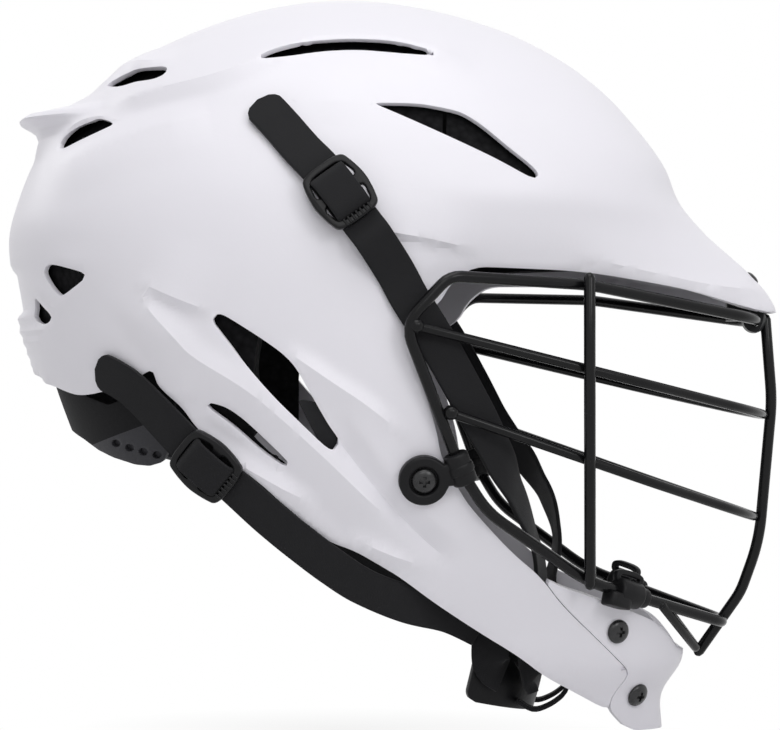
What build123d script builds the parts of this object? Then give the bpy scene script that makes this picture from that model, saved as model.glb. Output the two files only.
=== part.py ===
from build123d import *
from math import copysign, cos, hypot, pi, radians, sin
import os

# Lacrosse helmet, in millimetres. +X is the front, +Y the wearer's left, +Z up.
# The origin is the middle of the head, where the helmet is carried.

# Driving dimensions
length = 318.0
height = 301.0
width = 214.0
shell_wall = 3.0
fit_gap = 0.3
weld_gap = 0.1
cut_overrun = 40.0

rim_wire = 4.6
cross_wire = 3.8

webbing_width = 15.5
webbing_thickness = 1.6
webbing_lift = 0.7
stud_height = 1.0

liner_thickness = 13.0
liner_gap = 0.4
pad_thickness = 8.0
jaw_pad_thickness = 11.0

screw_head = 10.0
screw_head_height = 2.6
screw_shank = 4.0
nut_size = 8.0
recess_width_share = 0.14
recess_span_share = 0.62
nut_height = 3.0


def side_point(shares):
    """A point of the side view, from its shares of length and height."""
    return shares[0] * length, shares[1] * height


def side_points(table):
    return [side_point(shares) for shares in table]


def space_point(shares):
    return Vector(shares[0] * length, shares[1] * width, shares[2] * height)


# Level sections of the head form, from the chin to the crown: height, front,
# back, half width, roundness of the front and of the back, and widest place
level_shares = [
    (-0.588, 0.421, -0.190, 0.230, 2.00, 2.00, 0.000),
    (-0.541, 0.421, -0.220, 0.275, 2.00, 2.00, 0.000),
    (-0.495, 0.447, -0.245, 0.312, 2.00, 2.00, -0.003),
    (-0.440, 0.447, -0.265, 0.345, 2.00, 2.00, -0.010),
    (-0.365, 0.462, -0.295, 0.388, 2.00, 2.00, -0.016),
    (-0.282, 0.475, -0.330, 0.425, 2.00, 2.10, -0.025),
    (-0.183, 0.488, -0.370, 0.462, 1.95, 2.20, -0.031),
    (-0.100, 0.515, -0.397, 0.486, 1.75, 2.25, -0.038),
    (-0.020, 0.569, -0.413, 0.498, 1.50, 2.30, -0.038),
    (0.040, 0.528, -0.428, 0.500, 1.60, 2.30, -0.038),
    (0.090, 0.476, -0.430, 0.495, 1.90, 2.30, -0.038),
    (0.126, 0.447, -0.421, 0.486, 2.15, 2.30, -0.038),
    (0.183, 0.423, -0.399, 0.458, 2.20, 2.30, -0.038),
    (0.239, 0.384, -0.362, 0.418, 2.20, 2.20, -0.035),
    (0.292, 0.336, -0.312, 0.369, 2.15, 2.20, -0.028),
    (0.336, 0.278, -0.253, 0.308, 2.10, 2.10, -0.022),
    (0.372, 0.206, -0.181, 0.238, 2.05, 2.05, -0.013),
    (0.397, 0.129, -0.104, 0.159, 2.00, 2.00, 0.000),
    (0.409, 0.063, -0.044, 0.075, 2.00, 2.00, 0.006),
]
crown_share = 0.412
section_points = 20
section_steps = [step / section_points for step in range(section_points + 1)]


def section_curve(level, inset):
    """Points of one level section, drawn in by the inset."""
    _, front, back, half, front_round, back_round, middle = level
    points = []
    for step in range(section_points):
        turn = 2 * pi * step / section_points
        ahead = cos(turn) > 0
        reach = (front - middle if ahead else middle - back) * length - inset
        roundness = front_round if ahead else back_round
        along = copysign(abs(cos(turn)) ** (2 / roundness), cos(turn))
        across = copysign(abs(sin(turn)) ** (2 / roundness), sin(turn))
        points.append((middle * length + reach * along, (half * width - inset) * across))
    return points


form_cache = {}


def head_form(inset):
    """The closed head form, whose walls lie the inset inside the outer face."""
    if inset in form_cache:
        return form_cache[inset]
    crown = crown_share * height
    drop = (crown - inset) / crown
    with BuildPart() as form:
        for level in level_shares:
            level_height = level[0] * height
            raised = level_height * drop if level_height > 0 else level_height
            if abs(level[3] * width) > inset:
                with BuildSketch(Plane.XY.offset(raised)):
                    with BuildLine():
                        curve = section_curve(level, inset)
                        add(Edge.make_spline(curve, periodic=True, parameters=section_steps))
                    make_face()
        loft()
    form_cache[inset] = form.part
    return form.part


def skin(outer_inset, inner_inset):
    """A wall that follows the head form between two insets."""
    with BuildPart() as wall:
        add(head_form(outer_inset))
        add(head_form(inner_inset), mode=Mode.SUBTRACT)
    return wall.part


head = head_form(0)


def on_shell(shares, lift=0.0):
    """The place on the right outer face seen at this side point, and its normal."""
    x, z = side_point(shares)
    hits = head.find_intersection_points(Axis((x, -width, z), (0, 1, 0)))
    place, normal = hits[0]
    outward = normal if normal.Y < 0 else -normal
    return place + outward * lift, outward


def mirrored(source):
    """The left twin of a right-hand piece."""
    with BuildPart() as twin:
        mirror(objects=source.part, about=Plane.XZ)
    return twin


def side_prism(outline):
    """A prism through both sides, over a closed outline in the side view."""
    with BuildPart() as prism:
        with BuildSketch(Plane.XZ):
            with BuildLine():
                Polyline(*outline, close=True)
            make_face()
        extrude(amount=width, both=True)
    return prism.part


# Shell: one moulded wall over the head, with brow peak, jaw arms and vents.
# Its side outline runs from the peak round the back to the jaw arms.
peak_edge_shares = [(0.610, -0.022), (0.553, -0.020), (0.456, 0.007), (0.321, 0.027), (0.186, 0.030)]
face_edge_shares = [(0.145, -0.017), (0.104, -0.047), (0.107, -0.080), (0.129, -0.143), (0.145, -0.209)]
jaw_face_shares = [(0.167, -0.256), (0.198, -0.302), (0.267, -0.375)]
parting_shares = [(0.292, -0.412), (0.346, -0.472), (0.373, -0.500), (0.374, -0.516), (0.352, -0.558)]
jaw_edge_shares = [(0.270, -0.508), (0.186, -0.445), (0.094, -0.372), (0.003, -0.326), (-0.075, -0.246)]
nape_edge_shares = [(-0.157, -0.173), (-0.198, -0.126), (-0.206, -0.106), (-0.221, -0.110)]
back_edge_shares = [(-0.255, -0.126), (-0.308, -0.136), (-0.371, -0.113), (-0.396, -0.091), (-0.470, -0.087)]
far_corner_shares = [(-0.470, 0.470), (0.610, 0.470)]

shell_outline = side_points(
    peak_edge_shares + face_edge_shares + jaw_face_shares + parting_shares
    + jaw_edge_shares + nape_edge_shares + back_edge_shares + far_corner_shares
)
ear_vent_shares = [
    (-0.126, -0.036), (-0.075, -0.060), (-0.041, -0.083), (-0.028, -0.103), (-0.006, -0.143),
    (0.022, -0.199), (0.009, -0.203), (-0.022, -0.173), (-0.057, -0.136), (-0.088, -0.100),
]
slim_vent_shares = [(-0.142, -0.146), (-0.113, -0.149), (-0.091, -0.169), (-0.038, -0.224), (-0.107, -0.179)]
front_vent_shares = [
    (0.063, 0.243), (0.116, 0.246), (0.145, 0.239), (0.195, 0.216), (0.262, 0.162), (0.255, 0.143),
    (0.148, 0.203),
]
corner_vent_shares = [
    (-0.356, 0.030), (-0.345, 0.040), (-0.295, 0.026), (-0.295, 0.017), (-0.327, -0.005), (-0.343, 0.000),
]
small_vent_shares = [
    (-0.371, -0.003), (-0.349, -0.027), (-0.346, -0.037), (-0.358, -0.040), (-0.374, -0.030),
]
wing_vent_shares = [
    (-0.343, 0.193), (-0.330, 0.213), (-0.296, 0.233), (-0.270, 0.233), (-0.267, 0.223), (-0.305, 0.206),
]
hood_vent_shares = [
    (-0.270, 0.279), (-0.255, 0.287), (-0.223, 0.292), (-0.201, 0.292), (-0.208, 0.284), (-0.242, 0.277),
]
top_vent_shares = [(-0.072, 0.306), (0.022, 0.332), (0.129, 0.312), (0.035, 0.321)]

# The wing is the short lip over the back vents
wing_shares = [
    (-0.300, 0.287), (-0.346, 0.267), (-0.384, 0.256), (-0.420, 0.241), (-0.411, 0.236),
    (-0.398, 0.215), (-0.395, 0.170), (-0.340, 0.170),
]
wing_half = 34.0
wing_taper = 12.0

# The tongue behind the parting line takes the chin guard's screws
tongue_wall = 2.4
tongue_shares = [
    (0.255, -0.385), (0.290, -0.418), (0.390, -0.440), (0.405, -0.530), (0.350, -0.556), (0.270, -0.500),
]
tongue_root_shares = [
    (0.225, -0.360), (0.262, -0.396), (0.330, -0.480), (0.328, -0.526), (0.268, -0.500), (0.225, -0.460),
]

guard_screw_shares = [(0.362, -0.449), (0.387, -0.538)]
clip_screw_shares = (0.123, -0.243)


def across_shell(shares, radius, start, reach):
    """A round pin square to the right outer face: where it starts and how far it goes out."""
    place, normal = on_shell(shares, start)
    with BuildPart() as pin:
        with BuildSketch(Plane(origin=place, z_dir=normal)):
            Circle(radius)
        extrude(amount=reach)
    return pin.part


with BuildPart() as wing:
    with BuildSketch(Plane.XZ):
        with BuildLine():
            Polyline(*side_points(wing_shares), close=True)
        make_face()
    extrude(amount=wing_half, both=True)
    wing_front = wing_shares[0][0] * length
    wing_tip = wing_shares[3][0] * length
    with BuildSketch(Plane.XY.offset(wing_shares[-1][1] * height)):
        with BuildLine():
            Polyline(
                (wing_front, -wing_half), (wing_tip, -wing_half + wing_taper),
                (wing_tip, wing_half - wing_taper), (wing_front, wing_half), close=True,
            )
        make_face()
    extrude(amount=height, mode=Mode.INTERSECT)
    add(head_form(shell_wall), mode=Mode.SUBTRACT)


def screw_hole(shares):
    return across_shell(shares, screw_shank / 2 + fit_gap, -cut_overrun / 2, cut_overrun)


guard_holes = [screw_hole(shares) for shares in guard_screw_shares]
clip_hole = screw_hole(clip_screw_shares)
tongue_face = shell_wall + fit_gap

with BuildPart() as tongue:
    add(skin(tongue_face, tongue_face + tongue_wall))
    add(side_prism(side_points(tongue_shares)), mode=Mode.INTERSECT)

with BuildPart() as tongue_root:
    add(skin(shell_wall - fit_gap, tongue_face + tongue_wall))
    add(side_prism(side_points(tongue_root_shares)), mode=Mode.INTERSECT)

with BuildPart() as screw_holes:
    for hole in guard_holes + [clip_hole]:
        add(hole)
        mirror(objects=hole, about=Plane.XZ)

# The screw of the clip under the peak stands square to the peak's slope
peak_screw_shares = (0.5295, 0.0, 0.0375)
peak_screw_tilt = 41
peak_screw_out = Vector(sin(radians(peak_screw_tilt)), 0, cos(radians(peak_screw_tilt)))
peak_screw_place = space_point(peak_screw_shares)
with BuildPart() as peak_hole:
    with BuildSketch(Plane(origin=peak_screw_place, z_dir=peak_screw_out)):
        Circle(screw_shank / 2 + fit_gap)
    extrude(amount=cut_overrun / 2, both=True)

with BuildPart() as shell:
    add(skin(0, shell_wall))
    add(side_prism(shell_outline), mode=Mode.INTERSECT)
    for vent in (
        ear_vent_shares, slim_vent_shares, front_vent_shares, corner_vent_shares,
        small_vent_shares, wing_vent_shares, hood_vent_shares, top_vent_shares,
    ):
        add(side_prism(side_points(vent)), mode=Mode.SUBTRACT)
    add(wing.part)
    add(tongue_root.part)
    add(tongue.part)
    add(screw_holes.part, mode=Mode.SUBTRACT)
    add(peak_hole.part, mode=Mode.SUBTRACT)

# Chin guard: a separate moulded bow, screwed to the tongues at both sides
guard_top_shares = [
    (0.267, -0.375), (0.296, -0.389), (0.358, -0.412), (0.418, -0.445), (0.443, -0.482), (0.500, -0.487),
]
guard_foot_shares = [(0.500, -0.620), (0.390, -0.588)]
guard_parting = [(x + fit_gap, z) for x, z in side_points(parting_shares)]
guard_outline = side_points(guard_top_shares + guard_foot_shares) + guard_parting[::-1]

with BuildPart() as chin_guard:
    add(skin(0, shell_wall))
    add(side_prism(guard_outline), mode=Mode.INTERSECT)
    add(screw_holes.part, mode=Mode.SUBTRACT)

# Impact liner: three foam bands between shell and head
liner_face = shell_wall + liner_gap
liner_inside = liner_face + liner_thickness
liner_shares = [
    (0.470, 0.052), (0.195, 0.050), (0.088, 0.030), (-0.013, -0.073), (-0.030, -0.140), (-0.145, -0.140),
    (-0.155, -0.060), (-0.470, -0.050), (-0.470, 0.450), (0.470, 0.450),
]
liner_split_shares = (-0.150, 0.150)
liner_split_gap = 0.6

with BuildPart() as liner:
    add(skin(liner_face, liner_inside))
    add(side_prism(side_points(liner_shares)), mode=Mode.INTERSECT)
    for split_share in liner_split_shares:
        with Locations((split_share * length, 0, 0)):
            Box(liner_split_gap, width, 2 * height, mode=Mode.SUBTRACT)

liner_rear, liner_middle, liner_front = liner.solids().sort_by(Axis.X)

# Comfort pads: soft pads on the liner
pad_face = liner_inside + fit_gap
pad_inside = pad_face + pad_thickness
pad_skin = skin(pad_face, pad_inside)
brow_pad_shares = [(0.480, 0.066), (0.220, 0.066), (0.220, 0.135), (0.480, 0.135)]
side_pad_shares = [(0.060, 0.045), (-0.130, 0.045), (-0.130, 0.140), (0.060, 0.140)]
back_pad_shares = [(-0.250, -0.020), (-0.470, -0.020), (-0.470, 0.070), (-0.250, 0.070)]
crown_pad_shares = [(0.110, 0.290), (-0.130, 0.290), (-0.130, 0.450), (0.110, 0.450)]


def comfort_pad(shares):
    with BuildPart() as pad:
        add(pad_skin)
        add(side_prism(side_points(shares)), mode=Mode.INTERSECT)
    return pad


brow_pad = comfort_pad(brow_pad_shares)
back_pad = comfort_pad(back_pad_shares)
crown_pad = comfort_pad(crown_pad_shares)
side_pads = comfort_pad(side_pad_shares)
side_pad_right, side_pad_left = side_pads.solids().sort_by(Axis.Y)

# Jaw pads: foam blocks inside the jaw arms
jaw_pad_shares = [
    (0.020, -0.172), (0.060, -0.190), (0.128, -0.262), (0.175, -0.330), (0.215, -0.380), (0.190, -0.388),
    (0.130, -0.388), (0.092, -0.376), (0.030, -0.340), (0.000, -0.300),
]
with BuildPart() as jaw_pads:
    add(skin(liner_face, liner_face + jaw_pad_thickness))
    add(side_prism(side_points(jaw_pad_shares)), mode=Mode.INTERSECT)
    nut_foot = -liner_face - nut_height - 2 * fit_gap
    nut_room = across_shell(clip_screw_shares, nut_size, nut_foot, cut_overrun)
    add(nut_room, mode=Mode.SUBTRACT)
    mirror(objects=nut_room, about=Plane.XZ, mode=Mode.SUBTRACT)
jaw_pad_right, jaw_pad_left = jaw_pads.solids().sort_by(Axis.Y)

# Chin pads: thin foam behind the tongues
chin_pad_face = tongue_face + tongue_wall + fit_gap
chin_pad_thickness = 6.0
chin_pad_shares = [
    (0.232, -0.398), (0.258, -0.388), (0.300, -0.400), (0.332, -0.414), (0.330, -0.452), (0.262, -0.440),
]
with BuildPart() as chin_pads:
    add(skin(chin_pad_face, chin_pad_face + chin_pad_thickness))
    add(side_prism(side_points(chin_pad_shares)), mode=Mode.INTERSECT)
chin_pad_right, chin_pad_left = chin_pads.solids().sort_by(Axis.Y)

# Face mask: steel wires, round in section, welded where they cross
def rod(points, wire, radii):
    """A round wire along straight runs joined by tangent arcs."""
    with BuildPart() as bent:
        with BuildLine() as route:
            if radii:
                FilletPolyline(*points, radius=radii)
            else:
                Line(*points)
        with BuildSketch(Plane(origin=route.line @ 0, z_dir=route.line % 0)):
            Circle(wire / 2)
        sweep(path=route.line)
    return bent


def both_sides(right_points):
    """The route of a bow: the right half, then its mirror image."""
    return right_points + [Vector(p.X, -p.Y, p.Z) for p in reversed(right_points)]


rim_joint = space_point((0.170, -0.423, -0.233))
brow_temple = space_point((0.104, -0.497, -0.045))
brow_corner = space_point((0.158, -0.484, 0.017))
brow_side = space_point((0.327, -0.346, 0.009))
brow_front = space_point((0.5405, -0.100, -0.030))
rail_start = space_point((0.201, -0.393, -0.289))
rail_side = space_point((0.324, -0.285, -0.389))
rail_front = space_point((0.476, -0.095, -0.428))

brow_bar_points = [rim_joint, brow_temple, brow_corner, brow_side, brow_front]
chin_rail_points = [rim_joint, rail_start, rail_side, rail_front]
weld = (rim_wire + cross_wire) / 2 + weld_gap
rim_weld = rim_wire + weld_gap

brow_half_radii = [12.0, 10.0, 60.0, 24.0]
rail_half_radii = [40.0, 60.0, 22.0]


def trimmed(points, cut):
    """The route with its first point moved along the first run."""
    run = (points[1] - points[0]).normalized()
    return [points[0] + run * cut] + points[1:]


def bow(points, wire, half_radii):
    """A wire across the face, the same on both sides."""
    return rod(both_sides(points), wire, half_radii + half_radii[::-1])


mask_brow_bar = bow(trimmed(brow_bar_points, fit_gap), rim_wire, brow_half_radii)
mask_chin_rail = bow(trimmed(chin_rail_points, fit_gap), rim_wire, rail_half_radii)

# The two cross bars bow forward in planes that fall towards the front
cross_plan_shares = [(0.000, -0.493), (0.640, -0.312), (0.972, -0.112)]
cross_half_radii = [65.0, 46.0]


def cross_points(start, drop, reach, spread):
    """Right half of a cross bar's route, from its weld at the temple."""
    points = []
    for along, across in cross_plan_shares:
        points.append(Vector(start.X + reach * along, across * width * spread, start.Z - drop * along))
    return points


center_top = space_point((0.555, 0.0, -0.028))
center_brow = space_point((0.563, 0.0, -0.140))
center_mouth = space_point((0.546, 0.0, -0.332))
center_chin = space_point((0.522, 0.0, -0.402))
center_end = space_point((0.468, 0.0, -0.488))
upper_start = space_point((0.116, 0.0, -0.047))
lower_start = space_point((0.1565, 0.0, -0.158))
upper_drop_share = 0.115
lower_drop_share = 0.144
upper_reach_share = 0.4435
lower_reach_share = 0.3895
lower_spread = 0.915


upper_points = cross_points(upper_start, upper_drop_share * height, upper_reach_share * length, 1.0)
lower_points = cross_points(lower_start, lower_drop_share * height, lower_reach_share * length, lower_spread)
mask_cross_bar_upper = bow(upper_points, cross_wire, cross_half_radii)
mask_cross_bar_lower = bow(lower_points, cross_wire, cross_half_radii)
center_points = [center_top, center_brow, center_mouth, center_chin, center_end]
center_radii = [80.0, 80.0, 30.0]
mask_center_bar = rod(center_points, rim_wire, center_radii)


def run_side(start, end, x):
    """How far out a straight run lies at this place along the helmet."""
    return start.Y + (end.Y - start.Y) * (x - start.X) / (end.X - start.X)


def run_height(start, end, x):
    return start.Z + (end.Z - start.Z) * (x - start.X) / (end.X - start.X)


side_bar_share = 0.327
side_bar_place = side_bar_share * length
upper_side = run_side(upper_points[0], upper_points[1], side_bar_place)
upper_level = run_height(upper_points[0], upper_points[1], side_bar_place)
lower_side = run_side(lower_points[0], lower_points[1], side_bar_place)
lower_level = run_height(lower_points[0], lower_points[1], side_bar_place)


def slant(start, end):
    """How much longer a gap across a slanted run is when it is measured square to the helmet."""
    return hypot(end.X - start.X, end.Y - start.Y) / (end.X - start.X)


side_weld = weld * slant(upper_points[0], upper_points[1]) + weld_gap
side_brow = brow_side.Y - rim_weld * slant(brow_side, brow_front)
side_rail = rail_side.Y - rim_weld * slant(rail_start, rail_side)
side_bar_points = [
    Vector(side_bar_place, side_brow, brow_side.Z + rim_wire / 2),
    Vector(side_bar_place, upper_side - side_weld, upper_level),
    Vector(side_bar_place, lower_side - side_weld, lower_level),
    Vector(side_bar_place, side_rail, rail_side.Z - rim_wire / 2),
]
side_bar_radii = [60.0, 60.0]
mask_side_bar_right = rod(side_bar_points, rim_wire, side_bar_radii)
mask_side_bar_left = mirrored(mask_side_bar_right)

prong_start = space_point((0.424, -0.163, -0.4305))
prong_end = space_point((0.461, -0.028, -0.473))
prong_radii = [4.0]
mask_chin_prongs = bow([prong_start, prong_end], cross_wire, prong_radii)


# Side clips: a disc screwed to the jaw arm, with an arm that holds the rim wire
clip_radius = 9.6
clip_thickness = 5.0
clip_wall = 2.6
clip_loop_length = 9.0
clip_arm_width = 9.0

clip_place, clip_normal = on_shell(clip_screw_shares, fit_gap / 2)
rim_run = (brow_temple - rim_joint).normalized()


def wire_loop(center, run, wire, loop_length):
    """A sleeve round a wire, and the bore through it."""
    start = center - run * (loop_length / 2)
    with BuildPart() as sleeve:
        with BuildSketch(Plane(origin=start, z_dir=run)):
            Circle(wire / 2 + clip_wall)
        extrude(amount=loop_length)
    with BuildPart() as bore:
        with BuildSketch(Plane(origin=start - run * loop_length, z_dir=run)):
            Circle(wire / 2 + fit_gap / 2)
        extrude(amount=3 * loop_length)
    return sleeve.part, bore.part


def clip_arm(place, normal, target, arm_width, thickness):
    """A straight arm from a base towards a wire, lying square to the base's normal."""
    reach = target - place
    flat = reach - normal * reach.dot(normal)
    plane = Plane(origin=place, x_dir=flat.normalized(), z_dir=normal)
    with BuildPart() as arm:
        with BuildSketch(plane):
            with Locations((flat.length / 2, 0)):
                Rectangle(flat.length, arm_width)
        extrude(amount=thickness)
    return arm.part


rim_sleeve, rim_through = wire_loop(rim_joint, rim_run, rim_wire, clip_loop_length)
rail_run = (rail_start - rim_joint).normalized()
_, rail_through = wire_loop(rim_joint, rail_run, rim_wire, clip_loop_length)

with BuildPart() as side_clip_right:
    with BuildSketch(Plane(origin=clip_place, z_dir=clip_normal)):
        Circle(clip_radius)
    extrude(amount=clip_thickness)
    add(clip_arm(clip_place, clip_normal, rim_joint, clip_arm_width, clip_thickness))
    add(rim_sleeve)
    add(rim_through, mode=Mode.SUBTRACT)
    add(rail_through, mode=Mode.SUBTRACT)
    add(head_form(-fit_gap / 2), mode=Mode.SUBTRACT)
    add(clip_hole, mode=Mode.SUBTRACT)
side_clip_left = mirrored(side_clip_right)


def screw_at(place, normal, grip):
    """A cross-recess screw: domed head on its seat, shank inwards."""
    recess_width = screw_head * recess_width_share
    recess_span = screw_head * recess_span_share
    with BuildPart() as fastener:
        with BuildSketch(Plane(origin=place, z_dir=normal)):
            Circle(screw_head / 2)
        extrude(amount=screw_head_height)
        head_rims = fastener.edges().group_by(SortBy.LENGTH)[-1]
        fillet(head_rims.sort_by(Axis(tuple(place), tuple(normal)))[-1], screw_head_height / 2)
        with BuildSketch(Plane(origin=place, z_dir=-normal)):
            Circle(screw_shank / 2)
        extrude(amount=grip)
        with BuildSketch(Plane(origin=place + normal * screw_head_height, z_dir=-normal)):
            Rectangle(recess_span, recess_width)
            Rectangle(recess_width, recess_span)
        extrude(amount=screw_head_height / 2, mode=Mode.SUBTRACT)
    return fastener.part


def screw(shares, seat, grip):
    """A screw square to the side of the shell."""
    place, normal = on_shell(shares, seat + fit_gap)
    return screw_at(place, normal, grip)


def hex_nut(shares, seat):
    """A nut round the screw's shank, on the inside."""
    place, normal = on_shell(shares, -seat - fit_gap)
    with BuildPart() as piece:
        with BuildSketch(Plane(origin=place, z_dir=-normal)):
            RegularPolygon(nut_size / 2, 6)
            Circle(screw_shank / 2 + fit_gap / 3, mode=Mode.SUBTRACT)
        extrude(amount=nut_height)
    return piece.part


clip_grip = clip_thickness + shell_wall + nut_height + fit_gap
guard_grip = shell_wall + tongue_face + tongue_wall + nut_height

with BuildPart() as side_clip_screws:
    clip_screw = screw(clip_screw_shares, clip_thickness + fit_gap / 2, clip_grip)
    add(clip_screw)
    mirror(objects=clip_screw, about=Plane.XZ)

with BuildPart() as side_clip_nuts:
    clip_nut = hex_nut(clip_screw_shares, shell_wall)
    add(clip_nut)
    mirror(objects=clip_nut, about=Plane.XZ)

with BuildPart() as chin_guard_screws:
    for shares in guard_screw_shares:
        guard_screw = screw(shares, 0, guard_grip)
        add(guard_screw)
        mirror(objects=guard_screw, about=Plane.XZ)

with BuildPart() as chin_guard_nuts:
    for shares in guard_screw_shares:
        guard_nut = hex_nut(shares, tongue_face + tongue_wall)
        add(guard_nut)
        mirror(objects=guard_nut, about=Plane.XZ)

# Chin clips: hold the chin rail on top of the chin guard
chin_clip_share = 0.055
chin_clip_place = side_bar_place + chin_clip_share * length
rail_along = (rail_front - rail_side).normalized()
rail_hold = rail_side + rail_along * ((chin_clip_place - rail_side.X) / rail_along.X)
chin_clip_length = 11.0
chin_clip_block = 9.0
chin_clip_drop = 7.8
chin_sleeve, chin_bore = wire_loop(rail_hold, rail_along, rim_wire, chin_clip_length)
with BuildPart() as chin_clip_right:
    add(chin_sleeve)
    with BuildSketch(Plane(origin=rail_hold, x_dir=(rail_along.X, rail_along.Y, 0), z_dir=(0, 0, -1))):
        Rectangle(chin_clip_length, chin_clip_block)
    extrude(amount=chin_clip_drop)
    add(chin_bore, mode=Mode.SUBTRACT)
    add(skin(-fit_gap, shell_wall + fit_gap), mode=Mode.SUBTRACT)
chin_clip_left = mirrored(chin_clip_right)

# Visor clip: under the peak, round the brow bar
visor_clip_width = 14.0
brow_middle = Vector(brow_front.X, 0, brow_front.Z)
visor_sleeve, visor_bore = wire_loop(brow_middle, Vector(0, 1, 0), rim_wire, visor_clip_width)
with BuildPart() as visor_clip:
    add(visor_sleeve)
    with BuildSketch(Plane.XY.offset(brow_middle.Z)):
        with Locations((brow_middle.X - rim_wire, 0)):
            Rectangle(3 * rim_wire, visor_clip_width)
    extrude(amount=height / 8)
    add(head_form(shell_wall + fit_gap), mode=Mode.INTERSECT)
    add(visor_bore, mode=Mode.SUBTRACT)
    with Locations((brow_middle.X + length / 2, 0, brow_middle.Z)):
        Box(length, rim_wire + 2 * fit_gap, height / 4, mode=Mode.SUBTRACT)
    add(peak_hole.part, mode=Mode.SUBTRACT)

peak_screw_grip = shell_wall + nut_height
visor_clip_screw = screw_at(peak_screw_place + peak_screw_out * fit_gap, peak_screw_out, peak_screw_grip)

# Straps: flat webbing from a rounded tab on the shell, through a buckle, to the chin cup
def webbing_planes(stations):
    """Section planes along the webbing: across its width, square to its run."""
    planes = []
    for index, (place, normal) in enumerate(stations):
        before = stations[max(index - 1, 0)][0]
        after = stations[min(index + 1, len(stations) - 1)][0]
        run = (after - before).normalized()
        across = run.cross(normal).normalized()
        planes.append(Plane(origin=place, x_dir=across, z_dir=run))
    return planes


def webbing(stations):
    with BuildPart() as ribbon:
        for plane in webbing_planes(stations):
            with BuildSketch(plane):
                Rectangle(webbing_width, webbing_thickness)
        loft(ruled=True)
    return ribbon


def on_shell_stations(table, lift):
    return [on_shell(shares, lift) for shares in table]


webbing_center = webbing_lift + webbing_thickness / 2
buckle_length = 26.0
buckle_width = 23.0
buckle_height = 3.2
buckle_bar = 3.0
buckle_rail = 3.4
buckle_corner = 3.8
buckle_travel = 5.0
buckle_rise = 1.2

front_buckle_shares = (0.025, 0.120)
front_run_shares = (0.060, -0.086)
rear_buckle_shares = (-0.138, -0.232)
rear_run_shares = (0.068, -0.062)


def buckle_seat(shares, run_shares):
    """Where a buckle sits: its middle, the webbing's direction and the outward normal."""
    place, normal = on_shell(shares, webbing_center + buckle_rise)
    run = Vector(run_shares[0] * length, 0, run_shares[1] * height)
    run = (run - normal * run.dot(normal)).normalized()
    return place, run, normal


front_seat = buckle_seat(front_buckle_shares, front_run_shares)
rear_seat = buckle_seat(rear_buckle_shares, rear_run_shares)
straight_half = buckle_length / 2 + buckle_travel + webbing_thickness


def seat_station(seat, along):
    place, run, normal = seat
    return place + run * along, normal


front_tab_shares = [(-0.085, 0.249), (-0.068, 0.232), (-0.047, 0.208), (-0.030, 0.189)]
front_over_shares = [(0.090, 0.030), (0.104, 0.008), (0.122, -0.022)]
front_free_shares = [
    (0.136, -0.456, -0.058), (0.157, -0.433, -0.106), (0.182, -0.402, -0.161), (0.206, -0.368, -0.216),
    (0.232, -0.322, -0.272), (0.254, -0.270, -0.330), (0.264, -0.230, -0.386), (0.258, -0.196, -0.452),
]
front_free_normals = [
    (0.30, -1.00, 0), (0.38, -1.00, 0), (0.45, -1.00, 0), (0.60, -1.00, 0), (0.80, -1.00, 0),
    (1.00, -0.70, 0), (0.45, -1.00, 0), (0, -1.00, 0),
]
rear_tab_shares = [(-0.277, -0.103), (-0.252, -0.118), (-0.226, -0.142)]
rear_over_shares = [(-0.063, -0.292), (-0.025, -0.328), (0.013, -0.358), (0.050, -0.388)]
rear_free_shares = [(0.104, -0.334, -0.414), (0.145, -0.275, -0.436), (0.182, -0.203, -0.470)]
rear_free_normals = [(0.3, -1, -0.3), (0.3, -1, -0.2), (0, -1, 0)]

meet_gap = fit_gap
stud_center = stud_height + 1.5 * fit_gap + webbing_thickness / 2


def tab_stations(table, seat):
    """A tab lies flat over its press stud, then comes down to the shell and enters the buckle."""
    over_stud = on_shell_stations(table[:2], stud_center)
    along_shell = on_shell_stations(table[2:], webbing_center)
    in_buckle = [seat_station(seat, -straight_half), seat_station(seat, -meet_gap / 2)]
    return over_stud + along_shell + in_buckle


def free_stations(places, normals):
    return [(space_point(shares), Vector(*normal).normalized()) for shares, normal in zip(places, normals)]


front_tab_right = webbing(tab_stations(front_tab_shares, front_seat))
front_free = free_stations(front_free_shares, front_free_normals)
front_strap_right = webbing(
    [seat_station(front_seat, meet_gap / 2), seat_station(front_seat, straight_half)]
    + on_shell_stations(front_over_shares, webbing_center) + front_free
)
rear_tab_right = webbing(tab_stations(rear_tab_shares, rear_seat))
rear_free = free_stations(rear_free_shares, rear_free_normals)
rear_strap_right = webbing(
    [seat_station(rear_seat, meet_gap / 2), seat_station(rear_seat, straight_half)]
    + on_shell_stations(rear_over_shares, webbing_center) + rear_free
)


def buckle(seat):
    """A three-bar slide over the webbing."""
    place, run, normal = seat
    base = place + normal * (webbing_thickness / 2 + fit_gap)
    window = (buckle_length - 3 * buckle_bar) / 2
    with BuildPart() as frame:
        with BuildSketch(Plane(origin=base, x_dir=run, z_dir=normal)) as face:
            Rectangle(buckle_length, buckle_width)
            chamfer(face.vertices(), buckle_corner)
            with Locations(((window + buckle_bar) / 2, 0), (-(window + buckle_bar) / 2, 0)):
                Rectangle(window, buckle_width - 2 * buckle_rail, mode=Mode.SUBTRACT)
        extrude(amount=buckle_height)
    return frame


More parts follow.
